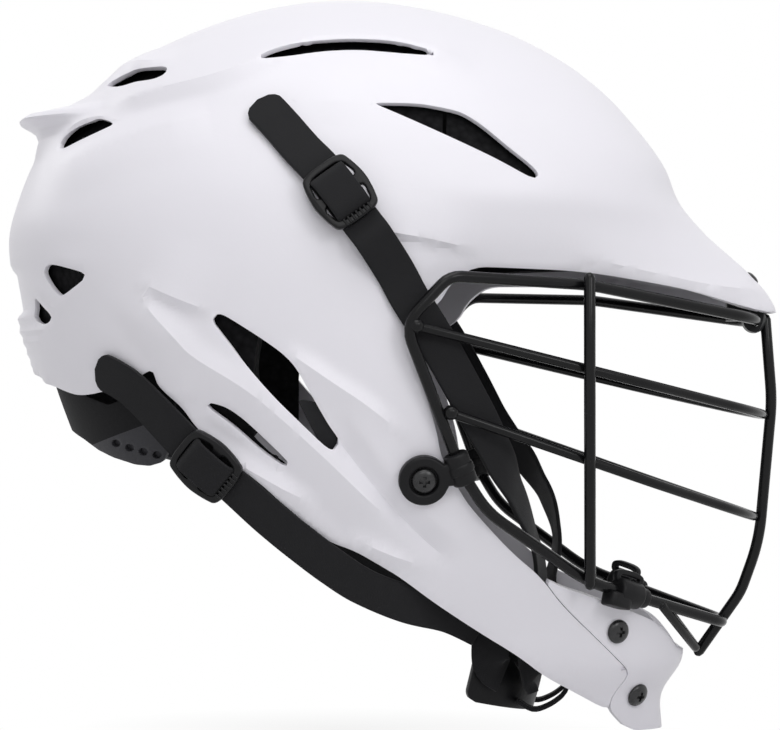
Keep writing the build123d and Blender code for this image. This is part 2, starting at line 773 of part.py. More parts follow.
def buckle_loop(seat):
    """The turn of webbing over the buckle's middle bar."""
    place, run, normal = seat
    base = place + normal * (webbing_thickness / 2 + fit_gap)
    window = (buckle_length - 3 * buckle_bar) / 2
    loop_width = buckle_width - 2 * buckle_rail - 2 * fit_gap
    outer = buckle_bar / 2 + window - fit_gap
    inner = outer - webbing_thickness
    top = buckle_height + fit_gap + webbing_thickness
    with BuildPart() as turn:
        with BuildSketch(Plane(origin=base, x_dir=run, z_dir=run.cross(normal))) as face:
            with BuildLine():
                Polyline(
                    (-outer, 0), (-outer, top), (outer, top), (outer, 0), (inner, 0),
                    (inner, top - webbing_thickness), (-inner, top - webbing_thickness), (-inner, 0),
                    close=True,
                )
            make_face()
        extrude(amount=loop_width / 2, both=True)
    return turn


front_buckle_right = buckle(front_seat)
front_buckle_loop_right = buckle_loop(front_seat)
rear_buckle_right = buckle(rear_seat)
rear_buckle_loop_right = buckle_loop(rear_seat)

# Press studs under the rounded tabs
stud_radius = 5.0
with BuildPart() as snap_studs:
    for shares in (front_tab_shares[0], rear_tab_shares[0]):
        stud = across_shell(shares, stud_radius, fit_gap / 2, stud_height)
        add(stud)
        mirror(objects=stud, about=Plane.XZ)

# Chin cup: a moulded shallow cup with a soft lining, hung from four webbing tabs
cup_half = 39.0
cup_depth = 27.0
cup_height = 27.0
cup_wall = 3.2
cup_pad_thickness = 5.0
cup_corner = 9.0
cup_back = 0.170 * length
cup_middle = -0.526 * height
strap_end_front = front_free[-1][0]
strap_end_rear = rear_free[-1][0]


def cup_shape(half, depth, wall, tall, corner):
    """A cup wall: the bow in plan, cut to a rounded outline from the front."""
    with BuildPart() as bowl:
        with BuildSketch(Plane.XY.offset(cup_middle - tall / 2)):
            with BuildLine():
                ThreePointArc((cup_back, -half), (cup_back + depth, 0), (cup_back, half))
                Line((cup_back, half), (cup_back, half - wall))
                ThreePointArc((cup_back, half - wall), (cup_back + depth - wall, 0), (cup_back, wall - half))
                Line((cup_back, wall - half), (cup_back, -half))
            make_face()
        extrude(amount=tall)
        with BuildSketch(Plane.YZ):
            with Locations((0, cup_middle)):
                RectangleRounded(2 * half, tall, corner)
        extrude(amount=length, mode=Mode.INTERSECT)
    return bowl


chin_cup = cup_shape(cup_half, cup_depth, cup_wall, cup_height, cup_corner)
pad_offset = cup_wall + fit_gap
chin_cup_pad = cup_shape(
    cup_half - pad_offset, cup_depth - pad_offset, cup_pad_thickness, cup_height - 2 * cup_wall,
    cup_corner - cup_wall,
)

tab_reach = 13.0
rear_tab_turn = 28
front_tab_turn = 53
cup_radius = (cup_half ** 2 + cup_depth ** 2) / (2 * cup_depth)
cup_center = cup_back + cup_depth - cup_radius


def cup_tab(strap_end, foot_turn):
    """A webbing tab from the cup up to the inner face of a strap's end."""
    top = strap_end + Vector(0, webbing_thickness + fit_gap, webbing_width / 4)
    low = top - Vector(0, 0, tab_reach)
    outward = Vector(sin(radians(foot_turn)), -cos(radians(foot_turn)), 0)
    foot = Vector(cup_center, 0, cup_middle) + outward * (cup_radius + webbing_thickness / 2 + fit_gap)
    return webbing([(top, Vector(0, -1, 0)), (low, Vector(0, -1, 0)), (foot, outward)])


with BuildPart() as chin_cup_tabs:
    for tab in (
        cup_tab(strap_end_rear, rear_tab_turn),
        cup_tab(strap_end_front, front_tab_turn),
    ):
        add(tab.part)
        mirror(objects=tab.part, about=Plane.XZ)

# Nape cradle: a perforated band behind the head, on two pins inside the shell
cradle_gap = 3.5
cradle_face = shell_wall + cradle_gap
cradle_wall = 2.4
cradle_shares = [
    (-0.440, -0.105), (-0.372, -0.112), (-0.330, -0.140), (-0.275, -0.158), (-0.232, -0.110),
    (-0.225, -0.060), (-0.195, -0.060), (-0.190, -0.150), (-0.205, -0.228), (-0.240, -0.238),
    (-0.300, -0.222), (-0.345, -0.195), (-0.400, -0.175), (-0.440, -0.170),
]
cradle_hole_shares = [(-0.290, -0.190), (-0.255, -0.200), (-0.220, -0.208), (-0.325, -0.165)]
cradle_hole_size = (7.0, 4.0)
cradle_pin_shares = (-0.210, -0.072)
cradle_pin_radius = 3.0
cradle_pin_proud = 1.2
with BuildPart() as rear_cradle:
    add(skin(cradle_face, cradle_face + cradle_wall))
    add(side_prism(side_points(cradle_shares)), mode=Mode.INTERSECT)
    with BuildSketch(Plane.XZ):
        with Locations(*side_points(cradle_hole_shares)):
            SlotOverall(cradle_hole_size[0], cradle_hole_size[1])
        with Locations(side_point(cradle_pin_shares)):
            Circle(cradle_pin_radius + fit_gap)
    extrude(amount=width, both=True, mode=Mode.SUBTRACT)

with BuildPart() as cradle_pins:
    with BuildSketch(Plane.XZ):
        with Locations(side_point(cradle_pin_shares)):
            Circle(cradle_pin_radius)
    extrude(amount=width, both=True)
    add(skin(shell_wall + fit_gap / 3, cradle_face + cradle_wall + cradle_pin_proud), mode=Mode.INTERSECT)

pieces_right = {
    "front_tab": front_tab_right, "front_strap": front_strap_right, "rear_tab": rear_tab_right,
    "rear_strap": rear_strap_right, "front_buckle": front_buckle_right,
    "front_buckle_loop": front_buckle_loop_right,
    "rear_buckle": rear_buckle_right, "rear_buckle_loop": rear_buckle_loop_right,
}

parts = {
    "shell": shell, "chin_guard": chin_guard, "liner_front": liner_front, "liner_middle": liner_middle,
    "liner_rear": liner_rear, "brow_pad": brow_pad, "back_pad": back_pad, "crown_pad": crown_pad,
    "side_pad_right": side_pad_right, "side_pad_left": side_pad_left,
    "jaw_pad_right": jaw_pad_right, "jaw_pad_left": jaw_pad_left,
    "chin_pad_right": chin_pad_right, "chin_pad_left": chin_pad_left,
    "mask_brow_bar": mask_brow_bar, "mask_chin_rail": mask_chin_rail,
    "mask_cross_bar_upper": mask_cross_bar_upper, "mask_cross_bar_lower": mask_cross_bar_lower,
    "mask_center_bar": mask_center_bar, "mask_side_bar_right": mask_side_bar_right,
    "mask_side_bar_left": mask_side_bar_left, "mask_chin_prongs": mask_chin_prongs,
    "side_clip_right": side_clip_right, "side_clip_left": side_clip_left,
    "side_clip_screws": side_clip_screws, "side_clip_nuts": side_clip_nuts,
    "chin_guard_screws": chin_guard_screws, "chin_guard_nuts": chin_guard_nuts,
    "chin_clip_right": chin_clip_right, "chin_clip_left": chin_clip_left, "visor_clip": visor_clip,
    "visor_clip_screw": visor_clip_screw,
    "snap_studs": snap_studs, "chin_cup": chin_cup, "chin_cup_pad": chin_cup_pad,
    "chin_cup_tabs": chin_cup_tabs,
    "rear_cradle": rear_cradle, "cradle_pins": cradle_pins,
}
for name, piece in pieces_right.items():
    parts[f"{name}_right"] = piece
    parts[f"{name}_left"] = mirrored(piece)

os.makedirs("parts", exist_ok=True)
for name, piece in parts.items():
    solid = piece.part if isinstance(piece, BuildPart) else piece
    solid.label = name
    export_step(solid, f"parts/{name}.step")
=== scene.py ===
import bpy, math
import numpy as np
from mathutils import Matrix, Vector


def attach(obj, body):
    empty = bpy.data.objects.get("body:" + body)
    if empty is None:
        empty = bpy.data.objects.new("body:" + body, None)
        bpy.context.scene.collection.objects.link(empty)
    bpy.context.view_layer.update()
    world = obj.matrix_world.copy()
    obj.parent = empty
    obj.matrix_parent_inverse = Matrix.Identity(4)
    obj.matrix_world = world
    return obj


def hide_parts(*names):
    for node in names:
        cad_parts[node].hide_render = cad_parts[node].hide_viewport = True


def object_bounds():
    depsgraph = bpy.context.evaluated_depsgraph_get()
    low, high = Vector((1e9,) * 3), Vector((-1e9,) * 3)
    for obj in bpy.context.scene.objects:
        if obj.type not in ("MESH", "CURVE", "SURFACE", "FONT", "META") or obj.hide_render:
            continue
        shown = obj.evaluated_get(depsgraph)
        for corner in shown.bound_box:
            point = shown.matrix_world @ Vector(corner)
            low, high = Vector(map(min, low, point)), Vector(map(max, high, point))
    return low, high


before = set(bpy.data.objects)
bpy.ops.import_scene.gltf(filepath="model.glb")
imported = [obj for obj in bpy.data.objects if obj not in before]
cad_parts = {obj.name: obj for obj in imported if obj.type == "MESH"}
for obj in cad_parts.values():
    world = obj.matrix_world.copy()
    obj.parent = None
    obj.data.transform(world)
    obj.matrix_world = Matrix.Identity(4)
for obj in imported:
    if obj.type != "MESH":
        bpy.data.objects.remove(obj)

cad_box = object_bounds()
scene = bpy.context.scene
bpy.ops.object.select_all(action='DESELECT')

# The studio: a camera far back on the wearer's right, a little below the
# middle of the helmet, on white, with soft lamps above and in front.
view_target = Vector((0.02083, 0.0, -0.02708))
view_distance = 1.38
view_turn, view_rise = math.radians(3.5), math.radians(-1.2)
view_from = Vector((math.sin(view_turn) * math.cos(view_rise), -math.cos(view_turn) * math.cos(view_rise),
                    math.sin(view_rise)))
bpy.ops.object.camera_add(location=view_target + view_from * view_distance)
camera = bpy.context.object
camera.rotation_euler = (-view_from).to_track_quat('-Z', 'Y').to_euler()
camera.data.lens = 152.86
camera.data.sensor_width = 36
camera.data.clip_start = 0.05
scene.camera = camera
scene.view_settings.view_transform = 'Standard'


class Wire:
    """A socket with arithmetic, so that a pattern is written as a formula."""

    def __init__(self, tree, socket):
        self.tree, self.socket = tree, socket

    def node(self, kind, settings=None, **inputs):
        made = self.tree.nodes.new(kind)
        for name, value in (settings or {}).items():
            setattr(made, name, value)
        for name, value in inputs.items():
            slot = made.inputs[int(name[1:]) if name[1:].isdigit() else name]
            if isinstance(value, Wire):
                self.tree.links.new(value.socket, slot)
            elif value is not None:
                slot.default_value = value
        return made

    def out(self, made, name=0):
        return Wire(self.tree, made.outputs[name])

    def maths(self, operation, other=None):
        return self.out(self.node('ShaderNodeMath', {'operation': operation}, i0=self, i1=other))

    def __add__(self, other):
        return self.maths('ADD', other)

    def __mul__(self, other):
        return self.maths('MULTIPLY', other)

    def __sub__(self, other):
        return self.maths('SUBTRACT', other)

    def __rsub__(self, other):
        return self.out(self.node('ShaderNodeMath', {'operation': 'SUBTRACT'}, i0=other, i1=self))


def seen_directly(tree):
    """1 for the rays of the camera, of reflections and of clear materials, and 0 for diffuse light."""
    path = tree.nodes.new('ShaderNodeLightPath')
    straight, mirrored, through = [Wire(tree, path.outputs[kind])
                                   for kind in ('Is Camera Ray', 'Is Glossy Ray', 'Is Transmission Ray')]
    return (straight + mirrored + through).maths('MINIMUM', 1.0)


world = bpy.data.worlds.new('studio')
scene.world = world
world.use_nodes = True
sky = world.node_tree
diffuse_sky = 0.36
strength = seen_directly(sky) * (1 - diffuse_sky) + diffuse_sky
sky.nodes['Background'].inputs['Color'].default_value = (1, 1, 1, 1)
sky.links.new(strength.socket, sky.nodes['Background'].inputs['Strength'])

lamps_look_at = Vector((0, 0, -0.03))
for lamp_name, place, size, power in (
    ('top_lamp', (0.05, -0.5, 1.5), 1.2, 12.0),
    ('fill_lamp', (0.2, -1.7, 0.9), 0.9, 4.7),
    ('front_lamp', (1.2, -1.3, 0.8), 0.6, 6.0),
    ('back_lamp', (-1.2, 0.6, 0.7), 0.6, 3.0),
):
    bpy.ops.object.light_add(type='AREA', location=place)
    lamp = bpy.context.object
    lamp.name = lamp_name
    lamp.data.size = size
    lamp.data.energy = power
    lamp.rotation_euler = (lamps_look_at - Vector(place)).to_track_quat('-Z', 'Y').to_euler()

floor_gap = 0.002
floor_height = cad_box[0][2] - floor_gap
bpy.ops.mesh.primitive_plane_add(size=6, location=(0, 0, floor_height))
floor = bpy.context.object
floor.name = 'floor'
floor_finish = bpy.data.materials.new('white_floor')
floor_finish.use_nodes = True
tree = floor_finish.node_tree
tree.nodes.remove(tree.nodes['Principled BSDF'])
plain = tree.nodes.new('ShaderNodeBsdfDiffuse')
floor_white = 0.77
plain.inputs['Color'].default_value = (floor_white, floor_white, floor_white, 1)
glow = tree.nodes.new('ShaderNodeEmission')
glow.inputs['Color'].default_value = (1, 1, 1, 1)
spot = Wire(tree, tree.nodes.new('ShaderNodeTexCoord').outputs['Object'])
away = spot.out(spot.node('ShaderNodeVectorMath', {'operation': 'LENGTH'}, i0=spot), 'Value')
shadow_share, shadow_fade = 0.86, 1.2
fade = (away * shadow_fade + shadow_share).maths('MINIMUM', 1.0)
share = seen_directly(tree) * fade
blend = tree.nodes.new('ShaderNodeMixShader')
tree.links.new(share.socket, blend.inputs['Fac'])
tree.links.new(plain.outputs[0], blend.inputs[1])
tree.links.new(glow.outputs[0], blend.inputs[2])
tree.links.new(blend.outputs[0], tree.nodes['Material Output'].inputs['Surface'])
floor.data.materials.append(floor_finish)

# The shell: one injection-moulded nylon wall, drawn 2 mm thick, with a brow peak,
# a rear wing, vents with rounded lips and two arms that come down to the jaw.
# Its levels, in millimetres: heights, then front, back, half width, roundness
# of front and back, middle. The rear wing stands out by its own table.
level_heights = (-177.0, -162.8, -149.0, -132.4, -109.9, -84.9, -55.1, -30.1, -6.0, 12.0, 27.1, 37.9, 55.1,
                 71.9, 87.9, 101.1, 112.0, 116.3, 119.5, 121.3, 122.5, 123.23, 123.65, 123.87, 123.965,
                 124.0)
level_fronts = (133.9, 133.9, 142.1, 142.1, 146.9, 151.1, 155.2, 163.8, 181.0, 167.9, 151.4, 142.1, 134.5,
                122.1, 106.8, 88.4, 65.5, 52.6, 40.2, 31.4, 24.0, 17.9, 13.0, 9.0, 6.0, 2.5)
level_backs = (-60.4, -70.0, -77.9, -84.3, -93.8, -104.9, -117.7, -126.2, -131.3, -136.1, -136.7, -133.9,
               -126.9, -115.1, -99.2, -80.5, -57.6, -45.5, -34.1, -25.3, -17.6, -11.6, -6.9, -3.3, -0.7, 2.5)
level_halves = (49.2, 58.9, 66.8, 73.8, 83.0, 91.0, 98.9, 104.0, 106.6, 107.0, 105.9, 104.0, 98.0, 89.5,
                79.0, 65.9, 50.9, 42.6, 34.0, 26.9, 20.4, 14.8, 10.1, 6.2, 3.3, 0.0)
level_front_rounds = (2.0, 2.0, 2.0, 2.0, 2.0, 2.0, 1.95, 1.75, 1.5, 1.6, 1.9, 2.15, 2.2, 2.2, 2.15, 2.1,
                      2.05, 2.02, 2.0, 2.0, 2.0, 2.0, 2.0, 2.0, 2.0, 2.0)
level_back_rounds = (2.0, 2.0, 2.0, 2.0, 2.0, 2.1, 2.2, 2.25, 2.3, 2.3, 2.3, 2.3, 2.3, 2.2, 2.2, 2.1, 2.05,
                     2.02, 2.0, 2.0, 2.0, 2.0, 2.0, 2.0, 2.0, 2.0)
level_middles = (0, 0, -1.0, -3.2, -5.1, -8.0, -9.9, -12.1, -12.1, -12.1, -12.1, -12.1, -12.1, -11.1, -8.9,
                 -7.0, -4.1, -1.4, 0.2, 1.2, 1.8, 2.1, 2.3, 2.4, 2.45, 2.5)
wing_heights = (-26.0, -18.8, -13.3, -8.2, -5.6, 3.75, 9.2, 13.0, 48.0, 56.0, 60.4, 65.0, 68.4, 71.0, 72.0,
                72.8, 74.8, 76.0, 78.3, 83.0, 90.0)
wing_reaches = (0.0, 1.0, 1.9, 2.6, -0.6, -1.7, -2.2, 0.0, 0.0, 0.4, 2.4, 4.6, 8.6, 14.6, 17.6, 18.9, 18.0,
                13.6, 5.4, 1.2, 0.0)


def smooth_between(at, places, values):
    """Values on the smooth curve through a table."""
    places, values = np.array(places, float), np.array(values, float)
    runs = np.diff(places)
    rises = np.diff(values) / runs
    slopes = np.zeros_like(values)
    slopes[1:-1] = (rises[:-1] * runs[1:] + rises[1:] * runs[:-1]) / (runs[:-1] + runs[1:])
    slopes[0], slopes[-1] = rises[0], rises[-1]
    index = np.clip(np.searchsorted(places, at) - 1, 0, len(runs) - 1)
    part = (at - places[index]) / runs[index]
    lead, trail = part ** 2 * (3 - 2 * part), part * (1 - part)
    return (values[index] * (1 - lead) + values[index + 1] * lead
            + runs[index] * trail * (slopes[index] * (1 - part) - slopes[index + 1] * part))


def head_points(turns, heights):
    """Points of the outer face, in millimetres, from the turn round the head and the height."""
    front = smooth_between(heights, level_heights, level_fronts)
    back = smooth_between(heights, level_heights, level_backs)
    half = smooth_between(heights, level_heights, level_halves)
    middle = smooth_between(heights, level_heights, level_middles)
    ahead = np.cos(turns) > 0
    roundness = np.where(ahead, smooth_between(heights, level_heights, level_front_rounds),
                         smooth_between(heights, level_heights, level_back_rounds))
    reach = np.where(ahead, front - middle, middle - back)
    along = np.sign(np.cos(turns)) * np.abs(np.cos(turns)) ** (2 / roundness)
    across = np.sign(np.sin(turns)) * np.abs(np.sin(turns)) ** (2 / roundness)
    return np.stack([middle + reach * along, half * across, heights], -1)


def rounded(points, rounds=2, share=0.22, closed=True):
    """An outline with its corners cut, as a moulding has them."""
    points = np.array(points, float)
    for _ in range(rounds):
        after = np.roll(points, -1, 0)
        near, far = points * (1 - share) + after * share, points * share + after * (1 - share)
        if not closed:
            near, far = near[:-1], far[:-1]
        cut = np.stack([near, far], 1).reshape(-1, 2)
        points = cut if closed else np.vstack([points[:1], cut[1:-1], points[-1:]])
    return points


def line_distance(places, points, closed):
    """Distance to a line in the side view, on which side of it each place lies, and how far along it."""
    starts = points if closed else points[:-1]
    ends = np.roll(points, -1, 0) if closed else points[1:]
    best = np.full(len(places), 1e9)
    side = np.ones(len(places))
    along = np.zeros(len(places))
    passed = 0.0
    for start, end in zip(starts, ends):
        run = end - start
        away = places - start
        part = np.clip(away @ run / max(run @ run, 1e-9), 0, 1)
        gap = np.hypot(*(away - part[:, None] * run).T)
        nearer = gap < best
        best[nearer] = gap[nearer]
        side[nearer] = np.sign(run[0] * away[nearer, 1] - run[1] * away[nearer, 0] + 1e-12)
        along[nearer] = passed + part[nearer] * math.hypot(*run)
        passed += math.hypot(*run)
    return best, side, np.minimum(along, passed - along)


def inside_distance(places, outline):
    """Distance to a closed outline, positive inside it."""
    gap = line_distance(places, outline, True)[0]
    within = np.zeros(len(places), bool)
    for start, end in zip(outline, np.roll(outline, -1, 0)):
        crosses = (start[1] > places[:, 1]) != (end[1] > places[:, 1])
        rise = end[1] - start[1] if end[1] != start[1] else 1e-9
        crossing = (end[0] - start[0]) * (places[:, 1] - start[1]) / rise + start[0]
        within ^= crosses & (places[:, 0] < crossing)
    return np.where(within, gap, -gap)


shell_edge = rounded([
    (186, -9), (181.2, -5.2), (175.9, -5.6), (165.4, -3.4), (145.2, 1.9), (125.2, 5.1), (102, 8.2),
    (72.7, 9.0), (58.8, 9.2), (50, 2.5), (46.1, -5.0), (38, -10.4), (33.1, -13.7), (32.6, -19),
    (34.2, -24.1), (41.4, -43.0), (44.8, -55.4), (45.9, -63.2), (49, -70), (52.7, -76.9), (56.1, -82.8),
    (62.7, -90.8), (73.9, -103.2), (84.9, -112.7), (93.2, -124.4), (110.4, -141.7), (118.4, -150.4),
    (119.2, -152.8), (118.4, -155.2), (112.5, -162.5), (111.7, -168.2), (97.1, -159.5), (85.9, -152.9),
    (75.2, -144.0), (59.1, -133.6), (43.1, -122.5), (29.7, -112.0), (21.9, -107.2), (12.7, -101.6),
    (1.1, -97.6), (-13.4, -84.6), (-24.1, -74.1), (-32.2, -67.9), (-49.6, -52.3), (-54.3, -45.7),
    (-61, -39.9), (-64.5, -36.4), (-65.6, -31.8), (-67.2, -31.0), (-70.2, -32.5), (-81, -37.9), (-98, -41),
    (-108, -38), (-118, -33.5), (-126, -27.4), (-150, -26), (-150, 150), (200, 150), (200, -9)], rounds=2)
guard_edge = rounded([
    (85.2, -112.7), (94.0, -117.1), (103.6, -120.2), (113.6, -124.5), (120.5, -127.2), (130.8, -131.8),
    (136.5, -138), (141.2, -145.2), (165, -146.8), (165, -182), (121.5, -178), (112.1, -168.2),
    (112.9, -162.5), (118.8, -155.2), (119.6, -152.8), (118.8, -150.4), (110.8, -141.7), (93.6, -124.4),
], rounds=2)
vents = [
    [(-92.0, 85.5), (-89.1, 86.9), (-83.6, 88.9), (-78.6, 90.3), (-71.7, 90.4), (-64.6, 90.2),
     (-63.3, 88.1), (-64.9, 85.6), (-69.2, 84.1), (-77.1, 83.9), (-84.3, 83.3)],
    [(-109.0, 58.9), (-108.3, 61.5), (-105.3, 64.2), (-99.9, 67.1), (-93.7, 69.4), (-91.5, 70.1),
     (-86.3, 68.6), (-85.0, 67.4), (-86.0, 66.6), (-96.7, 62.4), (-106.6, 58.6)],
    [(-113.1, 10.2), (-109.9, 12.0), (-95.0, 7.9), (-93.7, 6.3), (-94.6, 4.8), (-104.2, -1.1),
     (-106.1, -1.1), (-108.9, 1.4), (-113.0, 7.1)],
    [(-118.0, 0.0), (-114.6, -4.2), (-110.8, -7.9), (-110.0, -9.9), (-112.2, -11.5), (-114.6, -12.0),
     (-118.5, -10.2), (-119.4, -8.2)],
    [(-26.4, 92.0), (-20.2, 95.2), (-7.1, 98.4), (6.6, 99.6), (20.1, 99.2), (30.0, 98.0), (41.0, 94.8),
     (43.4, 92.7), (30.0, 94.6), (12.0, 96.2), (-2.9, 95.4), (-17.7, 92.2), (-25.4, 90.9)],
    [(19.9, 73.4), (22.2, 73.8), (36.9, 73.7), (45.9, 72.2), (54.1, 70.4), (62.0, 65.3), (72.2, 56.6),
     (82.0, 48.9), (84.3, 45.7), (83.2, 44.1), (80.8, 44.4), (67.2, 51.9), (47.3, 61.2), (27.4, 70.2)],
    [(-41.6, -12.4), (-41.2, -10.2), (-39.0, -9.3), (-36.0, -10.4), (-23.7, -18.1), (-13.3, -25.4),
     (-8.5, -30.8), (-2.0, -43.1), (3.3, -52.7), (7.4, -58.5), (5.8, -61.8), (2.7, -61.3), (-7.2, -51.6),
     (-17.8, -41.2), (-28.1, -29.6), (-34.6, -21.2), (-39.8, -14.6)],
    [(-44.6, -44.2), (-42.6, -43.5), (-35.9, -45.4), (-28.5, -50.8), (-13.6, -65.4), (-12.6, -67.6),
     (-14.8, -68.4), (-23.7, -62.2), (-34.1, -52.7), (-43.8, -45.8)],
]
vents = [rounded(vent, rounds=2) for vent in vents]
# Moulded ridges: a line in the side view, then how far the face stands out at
# distances above (+) and below (-) the line.
ridges = [
    ([(-97, 83), (-92.6, 87.4), (-84.4, 91.4), (-78, 92.9), (-62, 92.5)], ((-2.6, 0), (0, 2.9), (13, 0))),
    ([(-112, 58), (-108.6, 62.5), (-100, 68.3), (-91.5, 71.3), (-83, 69)], ((-1.6, 0), (0, 2.2), (9, 0))),
    ([(-90, 75), (-70, 79), (-41, 85), (-23, 92.8), (-7, 99.6), (8, 101), (29, 99.4), (44, 94.5),
      (58, 89.5)], ((-5.5, 0), (0, 2.7), (20, 0))),
    ([(-114, 50), (-89.6, 58.1), (-69.6, 64.1), (-45, 70)], ((-16, 0), (0, 1.3), (8, 0))),
    ([(-74, 5), (-57, -2.5), (-40, -9.4)], ((-14, 0), (-3.8, -1.6), (0, 1.8), (22, 0))),
    ([(-74, 5), (-66, -8), (-56, -18), (-50, -25), (-28, -38), (-13, -51), (3, -66), (19, -82), (30, -92)],
     ((-15, 0), (0, 3.1), (7.0, 0.6), (16, 0))),
    ([(-16, -22), (-9, -26), (4, -35), (19, -45), (34, -58)], ((-13, 0), (0, 2.9), (4.2, 0.2), (8, 0))),
    ([(1.8, -52), (16.9, -72.6), (37.9, -97.1), (52.7, -108.4)], ((-5, 0), (0, -2.1), (9, 1.9), (19, 0))),
    ([(-57, -50), (-31.3, -67.2), (-1.3, -84.3)], ((-10, 0), (0, 2.7), (5, -0.4), (9, 0))),
    ([(7.6, -94), (22, -101), (42.2, -108.8)], ((-6, 0), (0, 2.1), (3.4, 0))),
    ([(-63, -38), (-54, -40), (-45, -42)], ((-2.6, 0), (0, 1.4), (10, 0))),
    ([(18, 23.5), (42.4, 20), (62, 15.3)], ((-9, 0), (-2.2, -0.7), (0, 1.7), (16, 0))),
    ([(96, 15), (125.7, 9.0), (153.5, 3.5), (180, 2.2)], ((-4.0, -0.5), (0, 1.2), (12, 0))),
    ([(-12, 74.5), (4, 74.2), (20, 73.4)], ((-10, 0), (0, 0.8), (12, 0))),
    ([(-122, 9), (-113, -1), (-106, -9.5)], ((-7, 0), (0, 1.5), (3.2, 0))),
    ([(-112, 13.6), (-93, 9.2), (-91.5, 6)], ((-2, 0), (0, 1.0), (9, 0))),
]


def eased(profile):
    """A profile whose corners are rounded, all but the crest on the line itself."""
    steps = np.arange(0, 30, 0.25)
    sides = []
    for hand in (-1, 1):
        lifts = np.interp(steps * hand, *zip(*profile))
        wide = np.concatenate([2 * lifts[0] - lifts[16:0:-1], lifts, np.full(16, lifts[-1])])
        for _ in range(2):
            wide[4:-4] = np.convolve(wide, np.ones(9) / 9, 'valid')
        sides.append(wide[16:-16])
    return np.concatenate([-steps[::-1], steps[1:]]), np.concatenate([sides[0][::-1], sides[1][1:]])


ridges = [(rounded(points, rounds=3, closed=False), eased(profile)) for points, profile in ridges]


def moulded_lift(places):
    """How far the ridges raise the outer face."""
    total = np.zeros(len(places))
    for points, profile in ridges:
        gap, side, from_end = line_distance(places, points, False)
        total += np.interp(gap * side, *profile) * np.clip(from_end / 15, 0, 1)
    return total


def edge_field(places, outline, cuts):
    field = inside_distance(places, outline)
    for cut in cuts:
        field = np.minimum(field, -inside_distance(places, cut))
    return field


def read_all(items, field, width, kind=float):
    """One field of all points, edges or faces of a mesh, as rows of numbers."""
    values = np.empty(len(items) * width, kind)
    items.foreach_get(field, values)
    return values.reshape(-1, width)


